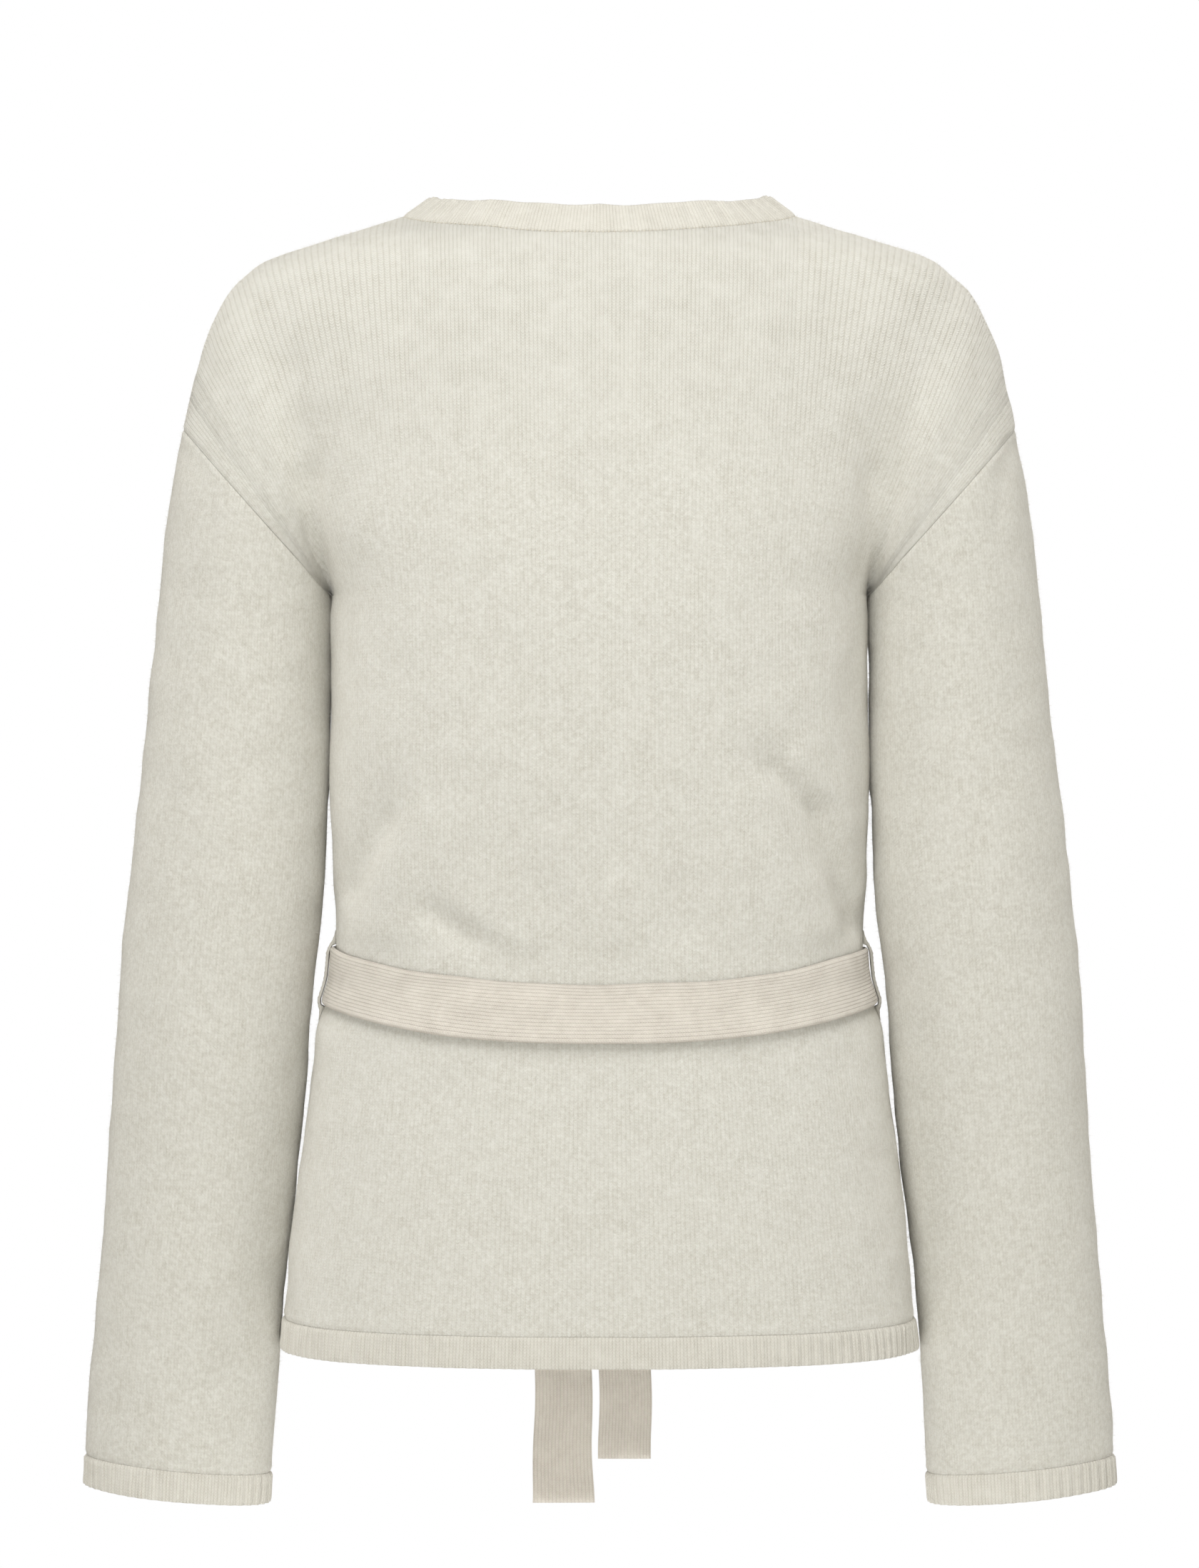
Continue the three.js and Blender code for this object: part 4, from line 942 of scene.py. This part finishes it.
hem_rows = np.array([0, 0.5, 1.1, 2, 4, 7, 10, 13, 14.4, 15.3, 15.96])
for name, start, side, hand in (
    ("back", -1, 1, 1), ("left", -WRAP_EDGE, -1, 1), ("right", -WRAP_EDGE, -1, -1)
):
    fine = np.linspace(start, 1, FINE_STEPS)
    length = running_length(column_point(fine, HEM_Z + 8, side))
    ribs = round(length[-1] / RIB_PITCH)
    spots = np.linspace(0, length[-1], ribs * RIB_SAMPLES + 1)
    shares = np.interp(spots, length, fine)
    points = column_point(shares[:, None], HEM_Z + hem_rows, side, hand)
    normals = body_normal(points)
    normals[..., 2] = 0
    normals = unit(normals)
    lift = wrap_lift(points * MIRROR) if hand < 0 else np.zeros(points.shape[:2])
    points = points + normals * (lift + relief(points, normals))[..., None]
    points[[0, -1], :, 1] += side * SEAM_INSET
    uv = stacked(spots[:, None], hem_rows)
    turns = spots / length[-1] * ribs
    hem, _ = make_rib(f"rib_hem_{name}", points, normals, turns, uv, [f"hem_rib_{name}"])

# Cuffs
# The same rib knit closed in a ring at each sleeve end, on the sleeve's slant.
cuff_fine = np.linspace(0, 2 * np.pi, FINE_STEPS)
cuff_length = running_length(
    arm_point(CUFF_OUTER_Z + CUFF_HEIGHT / 2, CUFF_INNER_Z + CUFF_HEIGHT / 2, cuff_fine)
)
cuff_ribs = round(cuff_length[-1] / RIB_PITCH)
cuff_spots = np.linspace(0, cuff_length[-1], cuff_ribs * RIB_SAMPLES + 1)
cuff_angle = np.interp(cuff_spots, cuff_length, cuff_fine)[:-1, None]
for hand, side_name in HANDS:
    points = arm_point(CUFF_OUTER_Z + hem_rows, CUFF_INNER_Z + hem_rows, cuff_angle)
    normals = in_plane(arm_normal(points), ring_facing(CUFF_OUTER_Z, CUFF_INNER_Z))
    points, normals = points * np.array([hand, 1, 1]), normals * np.array([hand, 1, 1])
    points = points + normals * relief(points, normals, arm_forward(points[..., 2]))[..., None]
    uv = stacked(cuff_spots[:, None], hem_rows)
    turns = cuff_spots[:-1] / cuff_length[-1] * cuff_ribs
    cuff, _ = make_rib(
        f"rib_cuff_{side_name}", points, normals, turns, uv, [f"cuff_{side_name}"], closed=True
    )

# Band
# One narrow ribbed strip linked to both front edges and round the neck, its ribs across
# it. It stands up round the neck and lies flat on the fronts.
BAND_PITCH = 10
BAND_SAMPLES = 9
STAND_BACK, STAND_NECK = math.radians(55), math.radians(37)
SETTLE_Z = -45


def band_direction(points, across, tangent):
    behind = points[..., 1] > 0
    share = np.where(behind, (points[..., 0] / torso_half_width(0)) ** 2, 1)
    slope = mix(STAND_BACK, STAND_NECK, share)[..., None]
    inward = unit(np.cross(np.array([0, 0, 1.0]), tangent))
    standing = inward * np.cos(slope) + np.array([0, 0, 1.0]) * np.sin(slope)
    settled = np.where(behind, 0, smooth_step(points[..., 2] / SETTLE_Z))[..., None]
    direction = mix(standing, across, settled)
    return unit(direction - (direction * tangent).sum(-1, keepdims=True) * tangent)


# The seam up the left front edge and round the neck to the centre back
front_left_points = panel_points(front_shares, -1, 1, front_edge_level)
neck_column = len(inner_shares) - 1
hem_corner = column_point(np.array([-WRAP_EDGE]), HEM_Z, -1)
seam_line = np.concatenate([
    hem_corner,
    front_left_points[0, :-1],
    front_left_points[:neck_column + 1, -1],
    back_halves[1][:len(neck_shares) - 1, -1][::-1],
])
seam_length = running_length(seam_line)
band_ribs = round(seam_length[-1] / BAND_PITCH)
band_spots = np.linspace(0, seam_length[-1], band_ribs * BAND_SAMPLES + 1)
band_seam = points_at(band_spots, seam_length, seam_line)
band_normal = body_normal(band_seam)
TANGENT_REACH = 5
padded = np.concatenate([
    band_seam[:1] + (band_seam[:1] - band_seam[TANGENT_REACH:0:-1]),
    band_seam,
    band_seam[-2:-2 - TANGENT_REACH:-1] * MIRROR,
])
band_tangent = unit(padded[2 * TANGENT_REACH:] - padded[:-2 * TANGENT_REACH])
band_tangent[:3] = band_tangent[3]
band_across = unit(np.cross(band_normal, band_tangent))
band_tangent = unit(np.cross(band_across, band_normal))
band_way = band_direction(band_seam, band_across, band_tangent)
band_facing = unit(np.cross(band_tangent, band_way))
band_rows = np.array([0.04, 0.7, 1.4, 2.4, 5, 8, 11, 14, 16.4, 17.6, 18.4, 19]) / BAND_WIDTH
free_wave = 1 + 0.022 * np.sin(band_spots / 11.0) + 0.018 * np.sin(band_spots / 5.3 + 1)
neck_corner = band_spots[np.argmax(band_seam[:, 1] > 0)]
free_wave = free_wave - 0.1 * hump(band_spots - neck_corner, 7)
reach = band_rows[None, :, None] * BAND_WIDTH * free_wave[:, None, None]
band_points = band_seam[:, None] + band_way[:, None] * reach
lying = smooth_step((-band_normal[:, 1] - 0.62) / 0.25)[:, None]
cast = -np.sqrt(body_depth_squared(band_points[..., 0], band_points[..., 2], True))
band_points[..., 1] = mix(band_points[..., 1], cast, lying * smooth_step(band_rows * 3))
turned = smooth_step(band_rows)[None, :, None]
band_normals = unit(mix(band_normal[:, None], band_facing[:, None], turned))
band_lift = wrap_lift(band_points)
left_band = band_points
right_band = (band_points + band_normal[:, None] * band_lift[..., None]) * MIRROR
whole_band = np.concatenate([left_band, right_band[-2::-1]])
whole_normals = np.concatenate([band_normals, band_normals[-2::-1] * MIRROR])
seam_uneven = relief(whole_band, whole_normals)
whole_band = whole_band + whole_normals * seam_uneven[..., None]
whole_spots = np.concatenate([band_spots, 2 * band_spots[-1] - band_spots[-2::-1]])
band, band_outer = make_rib(
    "rib_front_band",
    whole_band,
    whole_normals,
    whole_spots / band_spots[-1] * band_ribs,
    stacked(whole_spots[:, None], band_rows * BAND_WIDTH),
    ["front_band"],
)

# Linking stitches round the neck
# Where the band is linked on, short thick stitches cross the seam 3 mm apart, with a small
# hole between each two. They are the same yarn.
STITCH_PITCH = 3.0
STITCH_SPAN = 2.1
STITCH_RISE = 0.55
YARN_RADIUS = 0.42
YARN_SIDES = 6
YARN_STEPS = 5

yarn = knit_material(
    "ivory yarn",
    yarn=(0.81, 0.775, 0.68),
    dark_tone_and_gap_shade=(0.62, 0.575, 0.475),
    light=(0.83, 0.80, 0.72),
    wale=0.0008,
    course=0.0008,
    stitch_rise=0.12,
    nap_rise=0.14,
    clear=(1.0, 1.0),
    lie=1.0,
)

stitch_random = np.random.default_rng(5)
whole_seam = np.concatenate([
    band_seam, (band_seam + band_normal * wrap_lift(band_seam)[:, None])[-2::-1] * MIRROR
])
whole_tangent = np.concatenate([band_tangent, -band_tangent[-2::-1] * MIRROR])
whole_out = np.concatenate([band_normal, band_normal[-2::-1] * MIRROR])
stitch_at = np.arange(4, whole_spots[-1] - 4, STITCH_PITCH)
stitch_at = stitch_at + stitch_random.uniform(-0.35, 0.35, len(stitch_at))
stitch_place = points_at(stitch_at, whole_spots, whole_seam)
stitch_out = unit(points_at(stitch_at, whole_spots, whole_out))
stitch_along = unit(points_at(stitch_at, whole_spots, whole_tangent))
stitch_place = stitch_place + stitch_out * relief(stitch_place, stitch_out)[:, None]
stitch_over = unit(np.cross(stitch_out, stitch_along))
stitch_over = unit(stitch_over + stitch_along * stitch_random.uniform(0.05, 0.45, (len(stitch_at), 1)))
bend = np.linspace(0, np.pi, YARN_STEPS)
turn = 2 * np.pi * np.arange(YARN_SIDES) / YARN_SIDES
span = -np.cos(bend) * STITCH_SPAN / 2
crown = np.sin(bend) * STITCH_RISE - 0.5
centre = (
    stitch_place[:, None]
    + stitch_over[:, None] * span[None, :, None]
    + stitch_out[:, None] * crown[None, :, None]
)
stitch_side = unit(np.cross(stitch_over, stitch_out))
thin = YARN_RADIUS * (0.55 + 0.45 * np.sin(bend))
ring = (
    stitch_side[:, None, None] * np.cos(turn)[None, None, :, None]
    + stitch_out[:, None, None] * np.sin(turn)[None, None, :, None]
)
stitch_points = centre[:, :, None] + ring * thin[None, :, None, None]
total = len(stitch_at)
k, i, j = np.meshgrid(
    np.arange(total), np.arange(YARN_STEPS - 1), np.arange(YARN_SIDES), indexing="ij"
)


def stitch_index(step, turn_step):
    return (k * YARN_STEPS + step) * YARN_SIDES + turn_step % YARN_SIDES


stitch_faces = np.stack(
    [stitch_index(i, j), stitch_index(i, j + 1), stitch_index(i + 1, j + 1), stitch_index(i + 1, j)], -1
).reshape(-1, 4)
stitch_uv = stacked(j * 0.45, i * 0.6).reshape(-1, 1, 2) + np.array(
    [[0, 0], [0.45, 0], [0.45, 0.6], [0, 0.6]]
)
add_piece("linking_stitches", stitch_points.reshape(-1, 3), stitch_faces, stitch_uv, yarn, [])

# Belt
# A flat knit strip 30 mm wide and 3 mm thick, its rows lying along its length. It goes
# round the waist over both fronts, sags at the centre back and stands off a little there.
BELT_WIDTH = 30
BELT_THICK = 3
BELT_CLEARANCE = 0.4
BELT_SIDE_Z = -398.5
BACK_SAG, FRONT_SAG = 16.5, 5
BACK_STANDOFF_LOW, BACK_STANDOFF_HIGH = 2.3, 0.2
FRONT_STANDOFF = 1.3
STEP_DOWN_X = 102
BELT_STEPS = 140

belt_knit = knit_material(
    "ivory belt knit",
    yarn=(0.94, 0.893, 0.812),
    dark_tone_and_gap_shade=(0.72, 0.658, 0.58),
    light=(0.94, 0.903, 0.835),
    wale=0.0018,
    course=0.0013,
    stitch_rise=0.85,
    nap_rise=0.16,
    clear=(1.0, 1.0),
    lie=0.5,
)

# Half of the section: how far from the middle of the belt, and how much of its thickness is
# there
BELT_SECTION = np.array([(0.1, 1.0), (0.3, 1.0), (0.43, 0.96), (0.465, 0.84), (0.488, 0.62), (0.5, 0.3)])
belt_offset = np.concatenate([-BELT_SECTION[::-1, 0], BELT_SECTION[:, 0]])
belt_full = np.concatenate([BELT_SECTION[::-1, 1], BELT_SECTION[:, 1]])


def belt_run(shares, side):
    to_centre = np.cos(shares * np.pi / 2)[:, None] ** 2
    sag = BACK_SAG if side > 0 else FRONT_SAG
    level = BELT_SIDE_Z - sag * to_centre + belt_offset * BELT_WIDTH
    points = column_point(shares[:, None], level, side)
    normals = body_normal(points)
    back_off = mix(BACK_STANDOFF_LOW, BACK_STANDOFF_HIGH, belt_offset + 0.5)
    standoff = back_off if side > 0 else FRONT_STANDOFF
    step_down = smooth_step((points[..., 0] - STEP_DOWN_X) / WRAP_RUN)
    lift = wrap_lift(points * MIRROR) * (1 - step_down)
    away = BELT_CLEARANCE + lift + np.minimum(1, 2.5 * to_centre) * standoff
    return points + normals * away[..., None], normals


fine = np.linspace(1, -1, FINE_STEPS)
belt_length = running_length(column_point(fine, BELT_SIDE_Z, 1))
belt_shares = np.interp(np.linspace(0, belt_length[-1], BELT_STEPS + 1), belt_length, fine)[:-1]
back_run, back_out = belt_run(belt_shares, 1)
front_run, front_out = belt_run(-belt_shares, -1)
belt_inner = np.concatenate([back_run, front_run])
belt_out = np.concatenate([back_out, front_out])
belt_steps = np.linalg.norm(belt_inner[:, 5] - np.roll(belt_inner[:, 5], -1, axis=0), axis=1)
belt_spots = np.concatenate([[0], np.cumsum(belt_steps)])
spot = belt_spots[:-1, None]
edge_wave = 0.35 * np.sin(spot / 17 + 1) + 0.25 * np.sin(spot / 8.3)
belt_inner[..., 2] += edge_wave * (0.4 + belt_offset)
swell = 0.25 * np.sin(spot / 23 + 4 * belt_offset) + 0.16 * np.sin(spot / 9.7 - 7 * belt_offset)
hollow = -0.35 * hump(belt_offset, 0.22)
thick = BELT_THICK * belt_full + (swell + hollow) * belt_full ** 4
belt_outer = belt_inner + belt_out * thick[..., None]
belt = cloth_wall(
    "knit_belt",
    belt_outer,
    belt_inner + belt_out * (0.5 * (1 - belt_full) * BELT_THICK)[None, :, None],
    stacked(belt_offset * BELT_WIDTH, belt_spots[:, None]),
    belt_knit,
    ["belt_waist"],
    closed=True,
)

# Knot
# The belt's ends are tied once at the centre front. The knot is a soft lump of folded
# knit with one turn of the belt drawn slantwise over it.
KNOT_X, KNOT_Z = 3, -403
KNOT_WIDE, KNOT_HIGH, KNOT_DEEP = 19, 17, 8.5
KNOT_POWER = 2.6
KNOT_AROUND, KNOT_UP = 72, 42
lo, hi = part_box("belt_knot")
knot_y = (lo[1] + hi[1]) / 2 / MM

around, upward = np.meshgrid(
    2 * np.pi * np.arange(KNOT_AROUND) / KNOT_AROUND,
    np.linspace(0.02, np.pi - 0.02, KNOT_UP),
    indexing="ij",
)


def rounded(value):
    return np.sign(value) * np.abs(value) ** (2 / KNOT_POWER)


knot_x = rounded(np.cos(around) * np.sin(upward))
knot_z = rounded(np.cos(upward))
knot_front = rounded(np.sin(around) * np.sin(upward))
slanted = knot_x * 0.8 + knot_z * 0.6
crosswise = knot_z * 0.8 - knot_x * 0.6
crease = (
    0.16 * hump(slanted - 0.42, 0.1)
    + 0.18 * hump(slanted + 0.46, 0.1)
    + 0.07 * hump(crosswise - 0.1 - 0.3 * slanted, 0.12)
    + 0.05 * hump(crosswise + 0.45, 0.1)
)
knot_size = 1 - crease
knot_points = np.stack([
    KNOT_X + KNOT_WIDE * knot_x * knot_size,
    knot_y - KNOT_DEEP * knot_front * (1 - 1.5 * crease),
    KNOT_Z + KNOT_HIGH * knot_z * knot_size,
], -1)
c, r = np.meshgrid(np.arange(KNOT_AROUND), np.arange(KNOT_UP - 1), indexing="ij")
beside = (c + 1) % KNOT_AROUND
knot_faces = np.stack([
    c * KNOT_UP + r,
    c * KNOT_UP + r + 1,
    beside * KNOT_UP + r + 1,
    beside * KNOT_UP + r,
], -1).reshape(-1, 4)
knot_uv = np.stack([slanted * 20, crosswise * 20], -1).reshape(-1, 2)[knot_faces]
add_piece(
    "knit_knot", knot_points.reshape(-1, 3), knot_faces, knot_uv, belt_knit, ["belt_knot"]
)

# Belt ends
# Both ends hang from the knot, clear of the hem, gathered at the top and square cut at
# the bottom, with a slight twist and soft rolled edges.
TAIL_TOP_Z = -420.3
TAIL_END_Y = -112.8
TAIL_STEPS = 90
TAIL_GATHER = 60

# Level, middle and width of the long end, on the wearer's left, and of the short one, from
# the cut edge up to the knot
LONG_END = [
    (-692, 20, 34),
    (-655, 20, 32),
    (-600, 19.5, 31),
    (-520, 18, 30),
    (-450, 16.5, 27),
    (-420.3, 11, 16),
]
SHORT_END = [
    (-668, -14, 29),
    (-600, -14, 28.5),
    (-520, -12.5, 28),
    (-450, -10.5, 24),
    (-420.3, -6, 14),
]
for name, rows, twist in (("long", LONG_END, 1.0), ("short", SHORT_END, -0.8)):
    level = np.linspace(TAIL_TOP_Z, rows[0][0], TAIL_STEPS)
    middle, width = table_curve(rows, 1)(level), table_curve(rows, 2)(level)
    down = (TAIL_TOP_Z - level) / (TAIL_TOP_Z - HEM_Z)
    y = mix(knot_y, TAIL_END_Y, np.minimum(1, down))
    z = level[:, None]
    hang = np.clip((TAIL_TOP_Z - z) / TAIL_GATHER, 0, 1)
    pleat = (1 - hang) * 1.1 * np.cos(belt_offset * 4 * np.pi)
    wave = (0.7 * np.sin(z / 31) + twist * 1.6 * belt_offset * np.sin(z / 70)) * hang
    sway = 0.4 * np.sin(z / 9.0) * hang
    x = middle[:, None] + belt_offset * width[:, None] + sway
    out_y = y[:, None] + wave + pleat
    end_round = np.clip((level - rows[0][0]) / 1.6, 0.25, 1)[:, None] ** 0.5
    half = BELT_THICK / 2 * belt_full * end_round
    tail = cloth_wall(
        f"knit_belt_end_{name}",
        stacked(x, out_y - half, z),
        stacked(x, out_y + half, z),
        stacked(belt_offset * BELT_WIDTH, TAIL_TOP_Z - z),
        belt_knit,
        [f"belt_tail_{name}"],
    )

# Belt loops
# Narrow crocheted loops of the body yarn at the side seams. Each starts on the body above
# the belt, passes over it, and ends on the body below.
LOOP_WIDTH = 8
LOOP_THICK = 1.7

# Level, and how far the loop's underside stands off the side seam there
LOOP_ROWS = [
    (-422, 0.1),
    (-417, 0.9),
    (-413.5, 2.8),
    (-410.5, 3.9),
    (-400, 4.0),
    (-387, 3.9),
    (-383.5, 2.7),
    (-380, 1.0),
    (-375, 0.1),
]
LOOP_FOOT_Z, LOOP_HEAD_Z = -415, -382
LOOP_STEPS = 48
LOOP_BEAD = 2.6
loop_level = np.linspace(LOOP_ROWS[0][0], LOOP_ROWS[-1][0], LOOP_STEPS)
loop_off = table_curve(LOOP_ROWS, 1)(loop_level)
loop_cross = np.array([-0.5, -0.46, -0.36, -0.2, 0, 0.2, 0.36, 0.46, 0.5])
loop_full = np.array([0.3, 0.7, 0.95, 1, 0.86, 1, 0.95, 0.7, 0.3])
for hand, side_name in HANDS:
    base = torso_half_width(loop_level) + loop_off
    from_end = np.minimum(loop_level - loop_level[0], loop_level[-1] - loop_level)
    taper = mix(0.25, 1, smooth_step(from_end / 8))
    bead = (1 + 0.1 * np.sin(loop_level * 2 * np.pi / LOOP_BEAD)) * taper
    out = base[:, None] + LOOP_THICK * loop_full * bead[:, None]
    y, z = loop_cross * LOOP_WIDTH, loop_level[:, None]
    over_belt = (loop_level > LOOP_FOOT_Z) & (loop_level < LOOP_HEAD_Z)
    under = torso_half_width(loop_level) + np.where(over_belt, loop_off, 0.2)
    loop = cloth_wall(
        f"knit_loop_{side_name}",
        stacked(hand * out, y, z),
        stacked(hand * under[:, None], y, z),
        stacked(y, -z),
        rib_knit,
        [f"belt_loop_{side_name}"],
    )

# Loose nap
# Brushing leaves fine single fibres standing off the cloth. They show against the
# background and in the shadow between the sleeves and the body.
HAIR_WIDTH = 0.11
hair, hair_tree, hair_shader = new_material("ivory fibre")
hair_where = node(hair_tree, "ShaderNodeTexCoord").outputs["Object"]
hair_tone = noise(hair_tree, hair_where, 240.0, 1.0)[0]
hair_colour = mixed(hair_tree, hair_tone, (0.78, 0.74, 0.65, 1), (0.88, 0.86, 0.80, 1))
hair_tree.links.new(hair_colour, hair_shader.inputs["Base Color"])
hair_shader.inputs["Roughness"].default_value = 0.8
hair_shader.inputs["Specular IOR Level"].default_value = 0.2
hair_random = np.random.default_rng(23)


# Fibres rooted on an outer grid, standing or leaning, each a narrow pointed blade. There is
# one to each spread square millimetres, and longest is the length that few come near.
def add_nap(name, outer, spread, longest):
    a, b, d = outer[:-1, :-1], outer[1:, :-1], outer[:-1, 1:]
    face = np.cross(b - a, d - a)
    size = np.linalg.norm(face, axis=-1)
    chance = (size / size.sum()).ravel()
    count = int(size.sum() / spread)
    pick = hair_random.choice(len(chance), count, p=chance)
    s, t = hair_random.random((2, count, 1))
    corner = [grid.reshape(-1, 3)[pick] for grid in (a, b, d)]
    root = corner[0] + (corner[1] - corner[0]) * s + (corner[2] - corner[0]) * t
    out = unit(face.reshape(-1, 3)[pick])
    middle = outer.reshape(-1, 3).mean(axis=0)
    middle_out = np.stack([np.full(count, middle[0]), 0 * s[:, 0], root[:, 2]], -1)
    flip = np.sign(((root - middle_out) * out)[:, :2].sum(1))[:, None]
    out = out * np.where(flip == 0, 1, flip)
    lean = hair_random.normal(size=(count, 3))
    way = unit(out * hair_random.uniform(0.25, 1.3, (count, 1)) + 0.6 * lean)
    way = unit(way + out * np.clip(-(way * out).sum(1, keepdims=True) + 0.15, 0, None))
    reach = longest * hair_random.beta(1.4, 3.2, (count, 1)) + 0.4
    side = unit(np.cross(way, hair_random.normal(size=(count, 3)))) * HAIR_WIDTH / 2
    root = root - out * 0.1
    points = np.stack([root - side, root + side, root + way * reach], 1)
    faces = np.arange(3 * count).reshape(-1, 3)
    uv = np.zeros((count, 3, 2))
    return add_piece(name, points.reshape(-1, 3), faces, uv, hair, [])


add_nap("nap_back", back_outer, 3.4, 3.4)
add_nap("nap_front_left", front_shells[1], 6.0, 3.2)
add_nap("nap_front_right", front_shells[-1], 5.0, 3.2)
for hand, side_name in HANDS:
    shell = sleeve_shells[hand]
    add_nap(f"nap_sleeve_{side_name}", np.concatenate([shell, shell[:1]]), 3.2, 3.6)
add_nap("nap_belt", belt_outer, 6.0, 1.8)
add_nap("nap_band", band_outer, 5.0, 2.2)

# Floor and light
# A pale floor lies well below, where the wearer would stand. Broad soft light comes from all
# round, most from behind and above, and a weak light under the hem reaches the belt's ends.
FLOOR_Z = -1.36
FLOOR_RADIUS = 2.9
FLOOR_SIDES = 96
floor_turn = np.linspace(0, 2 * np.pi, FLOOR_SIDES + 1)[:-1]
rings = np.array([0.02, 0.5, 1, 2, FLOOR_RADIUS])
floor_points = stacked(
    rings[:, None] * np.cos(floor_turn), rings[:, None] * np.sin(floor_turn), FLOOR_Z
).reshape(-1, 3)
ring_index = np.arange(len(rings) * FLOOR_SIDES).reshape(len(rings), FLOOR_SIDES)
floor_faces = [
    (int(ring_index[i, j]), int(ring_index[i + 1, j]),
     int(ring_index[i + 1, (j + 1) % FLOOR_SIDES]), int(ring_index[i, (j + 1) % FLOOR_SIDES]))
    for i in range(len(rings) - 1) for j in range(FLOOR_SIDES)
]
floor_faces.append(tuple(int(i) for i in ring_index[0]))
floor_mesh = bpy.data.meshes.new("floor")
floor_mesh.from_pydata(floor_points.tolist(), [], floor_faces)
floor_material, floor_tree, floor_shader = new_material("pale floor")
floor_noise = node(floor_tree, "ShaderNodeTexNoise", {"Scale": 3.0, "Detail": 4.0}).outputs[0]
floor_tone = mixed(floor_tree, floor_noise, (0.82, 0.82, 0.81, 1), (0.88, 0.88, 0.87, 1))
floor_tree.links.new(floor_tone, floor_shader.inputs["Base Color"])
floor_shader.inputs["Roughness"].default_value = 0.8
floor_mesh.materials.append(floor_material)
floor = bpy.data.objects.new("floor", floor_mesh)
bpy.context.scene.collection.objects.link(floor)


def add_light(name, place, aim, size, power, colour):
    data = bpy.data.lights.new(name, "AREA")
    data.shape = "DISK"
    data.size = size
    data.energy = power
    data.color = colour
    lamp = bpy.data.objects.new(name, data)
    lamp.location = place
    away = np.array(place) - np.array(aim)
    flat = math.hypot(away[0], away[1])
    lamp.rotation_euler = (math.atan2(flat, away[2]), 0, math.atan2(away[0], -away[1]))
    lamp.visible_camera = False
    bpy.context.scene.collection.objects.link(lamp)


add_light("key", (0.7, 3.2, -0.8), (0, 0, -0.3), 1.8, 29.5, (0.99, 0.995, 1.0))
add_light("top", (0.1, 1.25, 1.3), (0, 0, -0.05), 1.5, 27, (0.99, 0.995, 1.0))
add_light("right", (-2.5, 1.7, -0.3), (0, 0, -0.35), 1.4, 12, (1.0, 0.99, 0.97))
add_light("left", (2.6, 1.4, -0.3), (0, 0, -0.35), 1.4, 6, (1.0, 0.99, 0.97))
add_light("fill", (-1.6, -2.8, 1.2), (0, 0, -0.3), 2.6, 80, (0.98, 0.99, 1.0))
add_light("low", (0.01, 0.1, -1.0), (0.01, -0.11, -0.66), 0.2, 0.48, (1.0, 0.995, 0.985))

world = bpy.data.worlds.new("studio")
world.use_nodes = True
world_tree = world.node_tree
soft = node(world_tree, "ShaderNodeBackground", {"Color": (1.0, 0.95, 0.85, 1), "Strength": 0.26})
white = node(world_tree, "ShaderNodeBackground", {"Color": (1, 1, 1, 1), "Strength": 1.0})
seen = node(world_tree, "ShaderNodeLightPath").outputs["Is Camera Ray"]
both = node(world_tree, "ShaderNodeMixShader", {0: seen, 1: soft.outputs[0], 2: white.outputs[0]})
world_tree.links.new(both.outputs[0], world_tree.nodes["World Output"].inputs["Surface"])
bpy.context.scene.world = world
